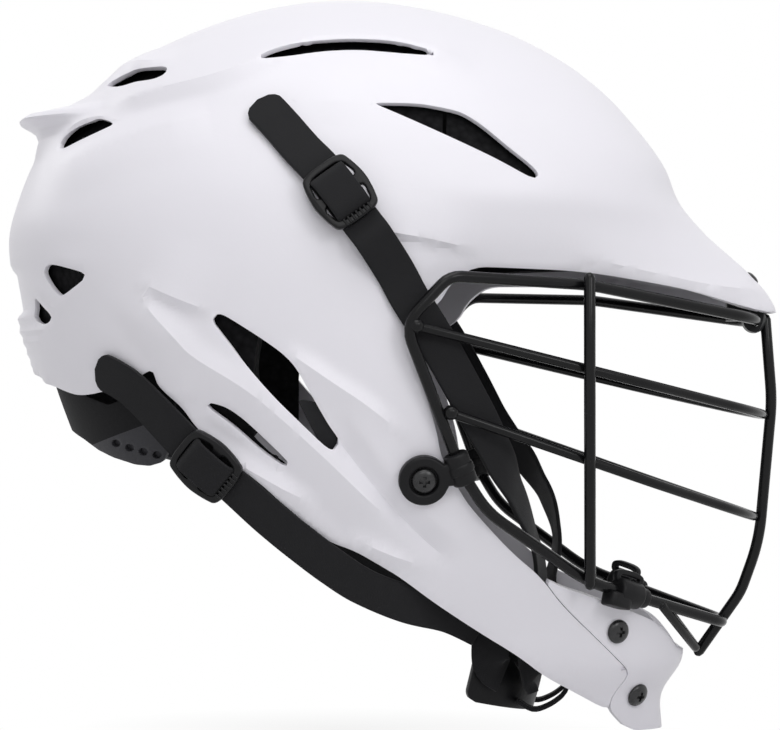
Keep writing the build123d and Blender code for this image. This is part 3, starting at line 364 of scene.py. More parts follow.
def head_skin(name, columns, rows, outline, cuts, low, high, lift=0.0, relief=True):
    """A sheet on the head form between two heights, cut to an outline and its holes in the side view.

    The points of a grid near an edge or the crest of a ridge slide onto it, and
    the faces beyond the edge are deleted. Relief adds ridges, teeth and wing.
    """
    bpy.ops.object.select_all(action='DESELECT')
    bpy.ops.mesh.primitive_grid_add(x_subdivisions=columns, y_subdivisions=rows, size=1)
    piece = bpy.context.object
    piece.name = name
    mesh = piece.data
    grid = read_all(mesh.vertices, 'co', 3)
    # The rows of the grid become heights, and its columns become turns round the head.
    dense = np.linspace(low, high, 1500)
    profile = np.stack([dense, smooth_between(dense, level_heights, level_halves),
                        smooth_between(dense, level_heights, level_backs)], -1)
    steps = np.hypot(np.diff(profile[:, 0]), 0.8 * np.hypot(np.diff(profile[:, 1]), np.diff(profile[:, 2])))
    # Rows are closer at the wing and the peak, and wider low down and at the top.
    for start, end, closeness in ((62, 80, 2.6), (-10, -4, 2.0), (-200, -112, 0.8), (84, 200, 0.85)):
        steps[(dense[1:] > start) & (dense[1:] < end)] *= closeness
    run = np.concatenate([[0], np.cumsum(steps)])
    heights = np.interp((grid[:, 1] + 0.5) * run[-1], run, dense)
    turns = np.linspace(-math.pi, math.pi, 4001)
    belt_height = 37.9
    belt = head_points(turns, np.full(len(turns), belt_height))
    strides = np.linalg.norm(np.diff(belt, axis=0), axis=1)
    # Columns are closer on the sides, where the ridges are.
    strides *= 1 + 0.75 * np.exp(-((belt[1:, 0] + 12) / 62) ** 4) * relief
    lap = np.concatenate([[0], np.cumsum(strides)])
    around = np.interp((grid[:, 0] + 0.5) * lap[-1], lap, turns)
    points = head_points(around, heights)
    # The outward normals, and how fast the distance to the edge changes along the face.
    ahead = head_points(around + 0.004, heights) - head_points(around - 0.004, heights)
    upward = head_points(around, np.minimum(heights + 0.3, high)) - head_points(around, heights - 0.3)
    normals = np.cross(ahead, upward)
    normals[np.linalg.norm(normals, axis=1) < 1e-6] = (0, 0, 1)
    normals /= np.linalg.norm(normals, axis=1)[:, None]
    view = points[:, ::2]
    field = edge_field(view, outline, cuts)
    probe = 0.15
    east, north = [edge_field(view + step, outline, cuts) - edge_field(view - step, outline, cuts)
                   for step in np.array([(probe, 0), (0, probe)])]
    slope = np.stack([east, np.zeros(len(east)), north], -1) / (2 * probe)
    slope -= normals * np.sum(slope * normals, 1)[:, None]
    mesh.vertices.foreach_set('co', (points * 0.001).ravel())
    bpy.ops.object.mode_set(mode='EDIT')
    bpy.ops.mesh.select_all(action='SELECT')
    bpy.ops.mesh.quads_convert_to_tris(quad_method='SHORTEST_DIAGONAL')
    bpy.ops.object.mode_set(mode='OBJECT')
    edges = read_all(mesh.edges, 'vertices', 2, int)

    def largest_change(values):
        """For each point, the most that these values change along an edge from it."""
        change = np.abs(values[edges[:, 0]] - values[edges[:, 1]])
        largest = np.zeros(len(points))
        np.maximum.at(largest, edges[:, 0], change)
        np.maximum.at(largest, edges[:, 1], change)
        return largest

    # Points near the edge slide onto it.
    close = np.abs(field) <= 0.5 * largest_change(field) + 1e-6
    steep = np.maximum(np.sum(slope * slope, 1), 0.15)
    moved = points.copy()
    for _ in range(2):
        now = edge_field(moved[close][:, ::2], outline, cuts)
        moved[close] -= slope[close] * (now / steep[close])[:, None]
    settled = np.where(close, 0.0, field)
    taken = close | (field < 0) | (not relief)
    # Points near the crest of a ridge slide onto it.
    for line, _ in ridges:
        gap, side, from_end = line_distance(moved[:, ::2], line, False)
        near = ~taken & (from_end > 1e-6) & (gap <= 0.5 * largest_change(gap * side)) & (gap < 2.5)
        taken |= near
        sample = moved[near][:, ::2]
        nudge = 0.05
        gaps = [np.prod(line_distance(sample + step, line, False)[:2], axis=0)
                for step in ((nudge, 0), (-nudge, 0), (0, nudge), (0, -nudge))]
        pull = np.stack([gaps[0] - gaps[1], np.zeros(len(sample)), gaps[2] - gaps[3]], -1) / (2 * nudge)
        pull -= normals[near] * np.sum(pull * normals[near], 1)[:, None]
        moved[near] -= pull * ((gap * side)[near] / np.maximum(np.sum(pull * pull, 1), 0.2))[:, None]
    raised = np.full(len(moved), float(lift)) + (moulded_lift(moved[:, ::2]) if relief else 0)
    # The low rear corner has a row of small teeth.
    teeth = np.clip((-108 - moved[:, 0]) / 8, 0, 1) * np.clip((-12 - moved[:, 2]) / 2, 0, 1)
    tooth_height, tooth_pitch = 1.5, 4.4
    raised += relief * teeth * (tooth_height * np.abs(((moved[:, 2] / tooth_pitch) % 1) - 0.5) * 2)
    # The rear wing stands out level, most of all in the middle of the back.
    wing = relief * np.interp(moved[:, 2], wing_heights, wing_reaches)
    reach = np.clip((62 - np.abs(moved[:, 1])) / 30, 0, 1)
    wing *= reach ** 2 * (3 - 2 * reach) * (moved[:, 0] < -40)
    outward = normals * (1, 1, 0)
    outward /= np.maximum(np.linalg.norm(outward, axis=1), 1e-9)[:, None]
    final = moved + normals * raised[:, None] + outward * wing[:, None]
    mesh.vertices.foreach_set('co', (final * 0.001).ravel())
    corners = read_all(mesh.polygons, 'vertices', 3, int)
    # Faces beyond the edge go.
    lowest = settled[corners].min(1)
    middle_field = edge_field(moved[corners].mean(1)[:, ::2], outline, cuts)
    drop = (lowest < -1e-7) | ((settled[corners].max(1) <= 1e-9) & (middle_field < 0.02))
    bpy.ops.object.mode_set(mode='EDIT')
    bpy.ops.mesh.select_all(action='DESELECT')
    bpy.ops.mesh.select_mode(type='FACE')
    bpy.ops.object.mode_set(mode='OBJECT')
    mesh.polygons.foreach_set('select', drop)
    bpy.ops.object.mode_set(mode='EDIT')
    bpy.ops.mesh.delete(type='FACE')
    bpy.ops.mesh.select_mode(type='VERT')
    bpy.ops.mesh.select_all(action='SELECT')
    bpy.ops.mesh.remove_doubles(threshold=0.00004)
    bpy.ops.mesh.delete_loose()
    bpy.ops.mesh.select_all(action='SELECT')
    bpy.ops.mesh.normals_make_consistent(inside=False)
    bpy.ops.object.mode_set(mode='OBJECT')
    return piece


def bevelled(piece, width, segments):
    """Rounds the sharp rims of the active piece."""
    rims = piece.modifiers.new('rims', 'BEVEL')
    rims.width, rims.segments = width, segments
    rims.limit_method, rims.angle_limit = 'ANGLE', math.radians(50)
    bpy.ops.object.modifier_apply(modifier=rims.name)


def walled(piece, wall, edge_round, crease=38, inner=0):
    """Gives a sheet its wall, inwards, and rounds its rims."""
    thick = piece.modifiers.new('wall', 'SOLIDIFY')
    thick.thickness, thick.offset, thick.use_even_offset = wall, -1, False
    thick.material_offset = inner
    bpy.context.view_layer.objects.active = piece
    piece.select_set(True)
    bpy.ops.object.modifier_apply(modifier=thick.name)
    if edge_round:
        bevelled(piece, edge_round, 2)
    bpy.ops.object.shade_smooth_by_angle(angle=math.radians(crease))
    piece.select_set(False)


def new_finish(name):
    """A material, its shader and the place on the piece, from which its patterns are made."""
    made = bpy.data.materials.new(name)
    made.use_nodes = True
    tree = made.node_tree
    coords = tree.nodes.new('ShaderNodeTexCoord')
    return made, tree.nodes['Principled BSDF'], Wire(tree, coords.outputs['Object'])


def noise(spot, scale, detail):
    return spot.out(spot.node('ShaderNodeTexNoise', None, Vector=spot, Scale=scale, Detail=detail))


def surface(shader, mix, low, high, rough, height, strength, depth):
    """Two colours mixed by a pattern, with a roughness and a bump of their own patterns."""
    tone = mix.node('ShaderNodeMix', {'data_type': 'RGBA'}, Factor=mix)
    tone.inputs[6].default_value = (*low, 1)
    tone.inputs[7].default_value = (*high, 1)
    bump = mix.node('ShaderNodeBump', None, Height=height, Strength=strength, Distance=depth)
    links = mix.tree.links
    links.new(tone.outputs[2], shader.inputs['Base Color'])
    links.new(rough.socket, shader.inputs['Roughness'])
    links.new(bump.outputs[0], shader.inputs['Normal'])


columns, rows = ((358, 180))
shell = head_skin('shell_skin', columns, rows, shell_edge, vents, low=-172.0, high=124.0)
shell_white, shader, spot = new_finish('satin_white_nylon')
grain, cloud = noise(spot, 900.0, 3.0), noise(spot, 9.0, 2.0)
surface(shader, cloud, (0.82, 0.805, 0.865), (0.86, 0.845, 0.90), cloud * 0.1 + grain * 0.08 + 0.33,
        grain, strength=0.06, depth=0.0004)
# Painted shade: the inner faces of the shell (given through inner=1 below) take a darker grey copy of the
# same white nylon, standing in for the shade inside the shell; the real inside is the same white nylon.
inside_painted_shade, shader, spot = new_finish('nylon_inside_painted_shade')
grain, cloud = noise(spot, 500.0, 3.0), noise(spot, 12.0, 2.0)
surface(shader, cloud, (0.46, 0.45, 0.49), (0.52, 0.51, 0.55), grain * 0.12 + 0.55,
        grain, strength=0.15, depth=0.0004)
shell.data.materials.append(shell_white)
shell.data.materials.append(inside_painted_shade)
walled(shell, wall=0.0020, edge_round=0.0005, crease=26, inner=1)
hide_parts('shell')
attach(shell, 'helmet')

# The chin guard: a separate bow of the same white nylon in front of the chin,
# screwed to the tongues of the shell at each side.
guard = head_skin('chin_guard_skin', 430, 190, guard_edge, [], low=-176.8, high=-60.0)
walled(guard, wall=0.003, edge_round=0.0006)
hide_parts('chin_guard')
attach(guard, 'helmet')
guard.data.materials.append(shell_white)

# The face mask: steel wire bent cold, welded at its crossings and coated in
# gloss black. Rim and centre wires are 4.6 mm thick, cross bars 3.8 mm.
rim_wire, cross_wire = 0.0046, 0.0038


def bent_route(points, radii):
    """The line of a wire: straight runs joined by bends of these radii."""
    points = [Vector(point) for point in points]
    route = [points[0]]
    for before, corner, after, radius in zip(points, points[1:], points[2:], radii):
        arrive, leave = (before - corner).normalized(), (after - corner).normalized()
        half = arrive.angle(leave) / 2
        cut = min(radius / math.tan(half), 0.49 * min((before - corner).length, (after - corner).length))
        middle = corner + (arrive + leave).normalized() * (cut / math.cos(half))
        bend = cut * math.tan(half)
        first, last = corner + arrive * cut - middle, corner + leave * cut - middle
        turn = first.angle(last) if first.length > 0 else 0
        pieces = max(4, int(turn * bend / 0.0025))
        for step in range(pieces + 1):
            route.append(middle + first.slerp(last, step / pieces).normalized() * bend)
    return route + [points[-1]]


def as_mesh(name, curve):
    """The mesh of a curve, as the selected and active object."""
    piece = bpy.data.objects.new(name, curve)
    scene.collection.objects.link(piece)
    bpy.ops.object.select_all(action='DESELECT')
    piece.select_set(True)
    bpy.context.view_layer.objects.active = piece
    bpy.ops.object.convert(target='MESH')
    return bpy.context.object


def joined(pieces, name):
    bpy.ops.object.select_all(action='DESELECT')
    for piece in pieces:
        piece.select_set(True)
    bpy.context.view_layer.objects.active = pieces[0]
    bpy.ops.object.join()
    whole = bpy.context.object
    whole.name = name
    whole.select_set(False)
    return whole


def paint(piece, finish):
    piece.data.materials.clear()
    piece.data.materials.append(finish)


def wire_piece(name, route, wire, finish):
    """A round wire along its route, with domed ends."""
    line = bpy.data.curves.new(name, 'CURVE')
    line.dimensions, line.bevel_depth, line.bevel_resolution, line.use_fill_caps = '3D', wire / 2, 5, True
    first = (route[0] - route[1]).normalized()
    last = (route[-1] - route[-2]).normalized()
    dome = [(0.25, 1.0), (0.72, 0.72), (1.0, 0.0)]
    ends = [(route[0] + first * wire * 0.5 * along, size) for size, along in dome]
    tail = [(route[-1] + last * wire * 0.5 * along, size) for size, along in reversed(dome)]
    run = ends + [(point, 1.0) for point in route[1:-1]] + tail
    spline = line.splines.new('POLY')
    spline.points.add(len(run) - 1)
    for point, (place, size) in zip(spline.points, run):
        point.co, point.radius = (*place, 1), size
    piece = as_mesh(name, line)
    bpy.ops.object.shade_smooth_by_angle(angle=math.radians(60))
    paint(piece, finish)
    piece.select_set(False)
    return piece


def bow(right_points):
    """A wire that runs across the face: the right half, then the left."""
    return right_points + [(x, -y, z) for x, y, z in reversed(right_points)]


black_coat, shader, spot = new_finish('gloss_black_coat')
ripple, worn = noise(spot, 420.0, 2.0), noise(spot, 60.0, 3.0)
surface(shader, worn, (0.004, 0.004, 0.0045), (0.009, 0.009, 0.010), worn * 0.12 + 0.16,
        ripple, strength=0.10, depth=0.0004)
shader.inputs['Coat Weight'].default_value = 0.1
shader.inputs['Coat Roughness'].default_value = 0.12
shader.inputs['Specular IOR Level'].default_value = 0.13

rim_joint = (0.05406, -0.09052, -0.07013)
brow_route = [rim_joint, (0.03307, -0.10636, -0.01355), (0.05024, -0.10358, 0.00512),
              (0.10399, -0.07404, 0.00271), (0.17188, -0.0214, -0.00903)]
rail_route = [rim_joint, (0.06392, -0.0841, -0.08640), (0.10270, -0.06099, -0.11420),
              (0.15790, -0.01200, -0.13280)]
upper_route = [(0.03689, -0.1055, -0.01415), (0.12715, -0.06677, -0.0363), (0.17517, -0.02397, -0.04779)]
lower_route = [(0.04977, -0.09653, -0.04756), (0.12904, -0.06109, -0.0753), (0.17136, -0.02193, -0.08969)]
center_route = [(0.17649, 0, -0.00843), (0.17903, 0, -0.04214), (0.17363, 0, -0.09993), (0.166, 0, -0.121),
                (0.14882, 0, -0.14540)]
side_route = [(0.10399, -0.07998, 0.00501), (0.10399, -0.0815, -0.0306), (0.10399, -0.0772, -0.0665),
              (0.10399, -0.0640, -0.1152)]
prong_route = [(0.13300, -0.03560, -0.12500), (0.1474, -0.0046, -0.1438)]
for name, route, radii, wire in (
    ('mask_brow_bar', brow_route, (0.012, 0.010, 0.060, 0.024), rim_wire),
    ('mask_chin_rail', rail_route, (0.040, 0.060, 0.012), rim_wire),
    ('mask_cross_bar_upper', upper_route, (0.065, 0.046), cross_wire),
    ('mask_cross_bar_lower', lower_route, (0.065, 0.046), cross_wire),
    ('mask_chin_prongs', prong_route, (0.004,), cross_wire),
):
    bends = radii + radii[::-1]
    piece = wire_piece(name + '_coated', bent_route(bow(route), bends), wire, black_coat)
    if name.startswith('mask_cross'):
        # Each end is welded to the rim with a small bead.
        beads = []
        for hand in (1, -1):
            x, y, z = route[0]
            bpy.ops.mesh.primitive_uv_sphere_add(segments=24, ring_count=16, radius=wire * 0.78,
                                                 location=(x + 0.0006, y * hand, z))
            bpy.ops.object.transform_apply(location=True)
            bpy.ops.object.shade_smooth()
            beads.append(bpy.context.object)
        paint(joined([piece] + beads, piece.name), black_coat)
    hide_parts(name)
    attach(piece, 'helmet')
route = bent_route(center_route, (0.080, 0.080, 0.030))
piece = wire_piece('mask_center_bar_coated', route, rim_wire, black_coat)
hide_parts('mask_center_bar')
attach(piece, 'helmet')
for side, hand in (('right', 1), ('left', -1)):
    route = bent_route([(x, y * hand, z) for x, y, z in side_route], (0.060, 0.060))
    piece = wire_piece('mask_side_bar_%s_coated' % side, route, rim_wire, black_coat)
    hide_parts('mask_side_bar_' + side)
    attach(piece, 'helmet')

# The webbing: woven nylon 15.5 mm wide and 1.6 mm thick, with a cut and sealed
# round end on each tab, snapped to the shell and led through a buckle.
webbing_width, webbing_thickness, webbing_rim = 0.0155, 0.0016, 0.0005


def side_depth(x, z, inset=0):
    """The right side of the head form at places of the side view, drawn in by the inset, in millimetres."""
    front, back, half, middle = [smooth_between(z, level_heights, values)
                                 for values in (level_fronts, level_backs, level_halves, level_middles)]
    ahead = x > middle
    reach = np.where(ahead, front - middle, middle - back) - inset
    power = np.where(ahead, smooth_between(z, level_heights, level_front_rounds),
                     smooth_between(z, level_heights, level_back_rounds))
    part = np.minimum(np.abs(x - middle) / reach, 1)
    return -(half - inset) * np.maximum(1 - part ** power, 0) ** (1 / power)


def on_head(x, z, lift):
    """The place over the right side of the shell at this point of the side view, and the way out."""
    probe = 0.3
    out = Vector(((side_depth(x + probe, z) - side_depth(x - probe, z)) / (2 * probe), -1,
                  (side_depth(x, z + probe) - side_depth(x, z - probe)) / (2 * probe))).normalized()
    raised = float(moulded_lift(np.array([[x, z]]))[0])
    return (Vector((x, side_depth(x, z), z)) + out * (raised + lift)) * 0.001, out


def smooth_stations(stations, spacing):
    """Stations at an even spacing on the smooth line through the given ones."""
    places = [Vector(place) for place, _ in stations]
    outs = [Vector(out).normalized() for _, out in stations]
    result = []
    for index in range(len(places) - 1):
        before, after = places[max(index - 1, 0)], places[min(index + 2, len(places) - 1)]
        start, end = places[index], places[index + 1]
        count = max(2, int((end - start).length / spacing))
        for step in range(count):
            part = step / count
            square, cube = part * part, part ** 3
            second, third = 2 * before - 5 * start + 4 * end - after, 3 * start - before - 3 * end + after
            place = 0.5 * (2 * start + (end - before) * part + second * square + third * cube)
            blend = part * part * (3 - 2 * part)
            result.append((place, outs[index].lerp(outs[index + 1], blend).normalized()))
    return result + [(places[-1], outs[-1])]


def faces_out():
    """Turns the faces of the active piece outwards."""
    bpy.ops.object.mode_set(mode='EDIT')
    bpy.ops.mesh.select_all(action='SELECT')
    bpy.ops.mesh.normals_make_consistent(inside=False)
    bpy.ops.object.mode_set(mode='OBJECT')


def ribbon(name, stations, finish, width=webbing_width, round_start=False, spacing=0.0016):
    """Flat webbing along its stations, with its own pattern map in millimetres."""
    line = smooth_stations(stations, spacing)
    runs = [0.0]
    for (before, _), (after, _) in zip(line, line[1:]):
        runs.append(runs[-1] + (after - before).length)
    bpy.ops.object.select_all(action='DESELECT')
    bpy.ops.mesh.primitive_grid_add(x_subdivisions=8, y_subdivisions=len(line) - 1, size=1)
    piece = bpy.context.object
    piece.name = name
    mesh = piece.data
    pattern = {}
    last = len(line) - 1
    round_off = width * 0.34
    for vertex in mesh.vertices:
        across, along = vertex.co.x, min(int(round((vertex.co.y + 0.5) * last)), last)
        place, out = line[along]
        run = (line[min(along + 1, last)][0] - line[max(along - 1, 0)][0]).normalized()
        sideways = run.cross(out).normalized()
        share = 1.0
        if round_start and runs[along] < round_off:
            share = math.sqrt(max(1 - (1 - runs[along] / round_off) ** 2, 0.0004))
        pattern[vertex.index] = (across * width * share * 1000, runs[along] * 1000)
        vertex.co = place + sideways * (across * width * share)
    uv = mesh.uv_layers.active or mesh.uv_layers.new(name='UVMap')
    for loop in mesh.loops:
        uv.data[loop.index].uv = pattern[loop.vertex_index]
    faces_out()
    thick = piece.modifiers.new('thickness', 'SOLIDIFY')
    thick.thickness, thick.offset = webbing_thickness, 0
    bpy.ops.object.modifier_apply(modifier=thick.name)
    bevelled(piece, webbing_rim, 2)
    bpy.ops.object.shade_smooth_by_angle(angle=math.radians(50))
    mesh.materials.append(finish)
    piece.select_set(False)
    return piece


def left_twin(piece, name):
    """A copy for the wearer's left, mirrored, with its faces turned out again."""
    twin = piece.copy()
    twin.data = piece.data.copy()
    twin.name = name
    scene.collection.objects.link(twin)
    for vertex in twin.data.vertices:
        vertex.co.y = -vertex.co.y
    twin.data.flip_normals()
    return twin


webbing, shader, spot = new_finish('black_webbing')
cloth = spot.node('ShaderNodeSeparateXYZ', None, Vector=spot.out(spot.node('ShaderNodeUVMap')))
across, along = spot.out(cloth, 0), spot.out(cloth, 1)
cord_pitch, pick_pitch, selvedge_from = 0.45, 0.7, 6.7
cords = (across * (math.pi / cord_pitch)).maths('SINE').maths('ABSOLUTE')
zigzag = ((across * 0.7).maths('PINGPONG', 1.0) * 0.9 + along) * (math.tau / pick_pitch)
picks = zigzag.maths('SINE') * 0.5 + 0.5
selvedge = across.maths('ABSOLUTE').maths('GREATER_THAN', selvedge_from)
weave = cords * 0.55 + picks * 0.45
dust = noise(spot, 140.0, 4.0)
surface(shader, weave * 0.75 + dust * 0.25, (0.006, 0.006, 0.007), (0.024, 0.024, 0.026),
        dust * 0.16 + selvedge * 0.05 + 0.62, weave, strength=0.25, depth=0.0002)
shader.inputs['Sheen Weight'].default_value = 0.06
shader.inputs['Sheen Roughness'].default_value = 0.5
shader.inputs['Specular IOR Level'].default_value = 0.10

front_middle, front_run = Vector((0.008141, -0.106306, 0.036653)), Vector((0.605734, -0.114905, -0.787326))
rear_middle, rear_run = Vector((-0.044200, -0.093355, -0.067650)), Vector((0.755965, -0.003754, -0.654602))


def buckle_out(x, z, run):
    out = on_head(x, z, 0)[1]
    return (out - run * out.dot(run)).normalized()


front_out = buckle_out(7.95, 36.1, front_run)
rear_out = buckle_out(-43.5, -66.8, rear_run)
lie = 1.5
front_tab_line = [
    on_head(-25.4, 73.4, 2.2), on_head(-20.2, 68.2, 1.9),
    on_head(-14.9, 62.6, lie), on_head(-7.5, 54.0, lie + 0.4),
    (front_middle - front_run * 0.012, front_out), (front_middle - front_run * 0.0002, front_out)]
front_strap_line = [
    (front_middle + front_run * 0.0002, front_out), (front_middle + front_run * 0.010, front_out),
    (front_middle + front_run * 0.0160 - front_out * 0.0002, front_out),
    (front_middle + front_run * 0.0215 - front_out * 0.0004, front_out),
    on_head(28.4, 7.5, lie), on_head(34.2, -3.5, lie + 0.2),
    ((0.0425, -0.0985, -0.0160), (0.30, -1, 0)), ((0.0510, -0.0935, -0.0310), (0.38, -1, 0)),
    ((0.0600, -0.0870, -0.0480), (0.45, -1, 0)), ((0.0680, -0.0800, -0.0640), (0.85, -1, 0)),
    ((0.0752, -0.0700, -0.0800), (1.0, -0.30, 0)), ((0.0815, -0.0590, -0.0970), (1, -0.04, 0)),
    ((0.0842, -0.0500, -0.1140), (1, -0.25, 0)), ((0.0822, -0.0430, -0.1340), (0.4, -1, 0))]
rear_tab_line = [on_head(-88.6, -29.6, 2.2), on_head(-79.3, -34.2, 1.9), on_head(-71.1, -40.6, lie),
                 (rear_middle - rear_run * 0.012, rear_out), (rear_middle - rear_run * 0.0002, rear_out)]
rear_strap_line = [(rear_middle + rear_run * 0.0002, rear_out), (rear_middle + rear_run * 0.012, rear_out),
                   on_head(-20.0, -88.5, lie + 0.2), on_head(-8.0, -98.5, lie), on_head(4.1, -107.8, lie),
                   on_head(16.0, -115.6, lie - 0.4), ((0.0331, -0.0715, -0.1232), (0.3, -1, -0.3)),
                   ((0.0480, -0.0580, -0.1274), (0.3, -1, -0.2)), ((0.0600, -0.0430, -0.1340), (0, -1, 0))]
for name, line, round_start in (
    ('front_tab', front_tab_line, True), ('front_strap', front_strap_line, False),
    ('rear_tab', rear_tab_line, True), ('rear_strap', rear_strap_line, False),
):
    piece = ribbon(name + '_right_woven', line, webbing, round_start=round_start)
    twin = left_twin(piece, name + '_left_woven')
    if name == 'front_strap':
        # The left strap hangs a little slack, further forward in its middle.
        for vertex in twin.data.vertices:
            slack = max(0.0, 1 - ((vertex.co.z + 0.086) / 0.044) ** 2)
            vertex.co.x += 0.009 * slack * slack
    for made, side in ((piece, 'right'), (twin, 'left')):
        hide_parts('%s_%s' % (name, side))
        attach(made, 'helmet')

# The buckles: three-bar slides moulded in black acetal, barrel-shaped, with a
# toothed lower bar. The webbing turns up over the middle bar.
def plate(name, place, run, out, outline, holes, thickness, edge_round):
    """A flat moulding: an outline with holes, as thick as given, with rounded edges."""
    sketch = bpy.data.curves.new(name, 'CURVE')
    sketch.dimensions, sketch.fill_mode = '2D', 'BOTH'
    sketch.extrude, sketch.bevel_depth, sketch.bevel_resolution = thickness / 2 - edge_round, edge_round, 2
    sketch.offset = -edge_round
    for loop in [outline] + holes:
        spline = sketch.splines.new('POLY')
        spline.points.add(len(loop) - 1)
        for point, (a, b) in zip(spline.points, loop):
            point.co = (a, b, 0, 1)
        spline.use_cyclic_u = True
    piece = as_mesh(name, sketch)
    across = out.cross(run).normalized()
    for vertex in piece.data.vertices:
        a, b, c = vertex.co
        vertex.co = place + run * a + across * b + out * (c + thickness / 2)
    bpy.ops.object.mode_set(mode='EDIT')
    bpy.ops.mesh.select_all(action='SELECT')
    bpy.ops.mesh.remove_doubles(threshold=0.000005)
    bpy.ops.mesh.normals_make_consistent(inside=False)
    bpy.ops.object.mode_set(mode='OBJECT')
    bpy.ops.object.shade_smooth_by_angle(angle=math.radians(40))
    piece.select_set(False)
    return piece


def round_bar(place, run, radius, length, edge_round, sides=32):
    """A short bar or sleeve along a direction, with rounded edges."""
    bpy.ops.object.select_all(action='DESELECT')
    bpy.ops.mesh.primitive_cylinder_add(vertices=sides, radius=radius, depth=length)
    piece = bpy.context.object
    bevelled(piece, edge_round, 3)
    turn = Vector(run).to_track_quat('Z', 'Y').to_matrix()
    for vertex in piece.data.vertices:
        vertex.co = turn @ vertex.co + Vector(place)
    bpy.ops.object.shade_smooth_by_angle(angle=math.radians(40))
    piece.select_set(False)
    return piece


def moulded_black(name, low, high, rough, grain_size, depth, coat=0.0):
    """Black moulded plastic with a fine grain and slight wear."""
    made, shader, spot = new_finish(name)
    grain, wear = noise(spot, grain_size, 3.0), noise(spot, 75.0, 4.0)
    surface(shader, wear, low, high, wear * 0.18 + grain * 0.06 + (rough - 0.12),
            grain, strength=0.22, depth=depth)
    shader.inputs['Coat Weight'].default_value = coat
    shader.inputs['Specular IOR Level'].default_value = 0.15
    return made


buckle_black = moulded_black('buckle_acetal', (0.004, 0.004, 0.005), (0.010, 0.010, 0.011),
                             rough=0.30, grain_size=700.0, depth=0.0002, coat=0.1)
half_long, half_end, half_wide = 0.0132, 0.0092, 0.0121
barrel = rounded([(-half_long, -half_end), (-0.007, -0.0111), (0, -half_wide), (0.007, -0.0111),
                  (half_long, -half_end), (half_long, half_end), (0.007, 0.0111), (0, half_wide),
                  (-0.007, 0.0111), (-half_long, half_end)], rounds=3)
window_top = rounded([(-0.0104, -0.0075), (-0.0016, -0.0096), (-0.0016, 0.0096), (-0.0104, 0.0075)],
                     rounds=2, share=0.16)
window_low = window_top * (-1, 1)
slide_thickness, slide_gap, tooth_pitch = 0.0032, 0.0003, 0.0019
for name, middle, run, out in (
    ('front', front_middle, front_run, front_out), ('rear', rear_middle, rear_run, rear_out),
):
    run = run.normalized()
    across = out.cross(run).normalized()
    foot = middle + out * (webbing_thickness / 2 + slide_gap)
    bars = plate(name + '_slide', foot, run, out, barrel, [window_top, window_low], slide_thickness,
                 edge_round=0.0007)
    teeth = []
    for step in range(7):
        spot_on_bar = foot + run * 0.0112 + across * (step - 3) * tooth_pitch + out * 0.0031
        teeth.append(round_bar(spot_on_bar, run,
                               radius=0.00055, length=0.0030, edge_round=0.0002, sides=12))
    slide = joined([bars] + teeth, name + '_buckle_right_moulded')
    paint(slide, buckle_black)
    top = slide_thickness + slide_gap + webbing_thickness / 2
    # Half of the turn over the bar: along, out, then the lean and rise of its face.
    half_turn = [(0.0094, 0.0004, 1, 0.1), (0.0091, 0.0022, 1, 0.5), (0.0074, top - 0.0002, 0.5, 1),
                 (0.0035, top + 0.0004, 0, 1)]
    whole_turn = [(-along, high, -lean, rise) for along, high, lean, rise in half_turn] + half_turn[::-1]
    turn_line = [(foot + run * along + out * high, run * lean + out * rise)
                 for along, high, lean, rise in whole_turn]
    turn = ribbon(name + '_buckle_loop_right_woven', turn_line, webbing, width=0.0150, spacing=0.0007)
    for made, node, hand in ((slide, name + '_buckle', 'moulded'), (turn, name + '_buckle_loop', 'woven')):
        twin = left_twin(made, '%s_left_%s' % (node, hand))
        for each, side in ((made, 'right'), (twin, 'left')):
            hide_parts('%s_%s' % (node, side))
            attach(each, '%s_buckle_%s' % (name, side))
            'buckle_plastic' if hand == 'moulded' else 'webbing'

# The side clips: black nylon discs screwed to the jaw arms, each with an arm
# that closes round the rim wire. Round-headed black screws with a cross recess.
clip_black = moulded_black('clip_nylon', (0.006, 0.006, 0.007), (0.014, 0.014, 0.015),
                           rough=0.42, grain_size=520.0, depth=0.0003)
screw_black, shader, spot = new_finish('blackened_steel')
scratch = noise(spot, 260.0, 5.0)
surface(shader, scratch.maths('POWER', 2.0), (0.010, 0.010, 0.011), (0.060, 0.060, 0.062),
        scratch * 0.2 + 0.18, scratch, strength=0.15, depth=0.0002)
shader.inputs['Metallic'].default_value = 0.35


def screw_piece(place, out, radius, height):
    """A domed screw head with a cross recess, and its shank."""
    bpy.ops.object.select_all(action='DESELECT')
    bpy.ops.mesh.primitive_uv_sphere_add(segments=48, ring_count=32, radius=1)
    head = bpy.context.object
    for vertex in head.data.vertices:
        x, y, z = vertex.co
        reach = math.hypot(x, y)
        flat = min(reach, 1) ** 0.8 / max(reach, 1e-6)
        vertex.co = (x * flat * radius, y * flat * radius, max(z, -0.15) * height)
    for turn in (0, 90):
        bpy.ops.mesh.primitive_cube_add(size=1)
        slot_cut = bpy.context.object
        for vertex in slot_cut.data.vertices:
            x, y, z = vertex.co
            taper = 1.0 if z > 0 else 0.55
            x, y, z = x * radius * 1.15 * taper, y * radius * 0.26, z * height * 1.2 + height * 1.05
            vertex.co = (x, y, z) if turn == 0 else (-y, x, z)
        cut = head.modifiers.new('recess', 'BOOLEAN')
        cut.operation, cut.object, cut.solver = 'DIFFERENCE', slot_cut, 'EXACT'
        bpy.ops.object.select_all(action='DESELECT')
        bpy.context.view_layer.objects.active = head
        head.select_set(True)
        bpy.ops.object.modifier_apply(modifier=cut.name)
        bpy.data.objects.remove(slot_cut)
    bpy.ops.object.shade_smooth_by_angle(angle=math.radians(35))
    turn = out.to_track_quat('Z', 'Y').to_matrix()
    for vertex in head.data.vertices:
        vertex.co = turn @ vertex.co + place
    head.select_set(False)
    shank_radius, shank_length = 0.0019, 0.012
    shank = round_bar(place - out * (shank_length / 2), out, shank_radius, shank_length,
                      edge_round=0.0003, sides=20)
    return joined([head, shank], 'screw')


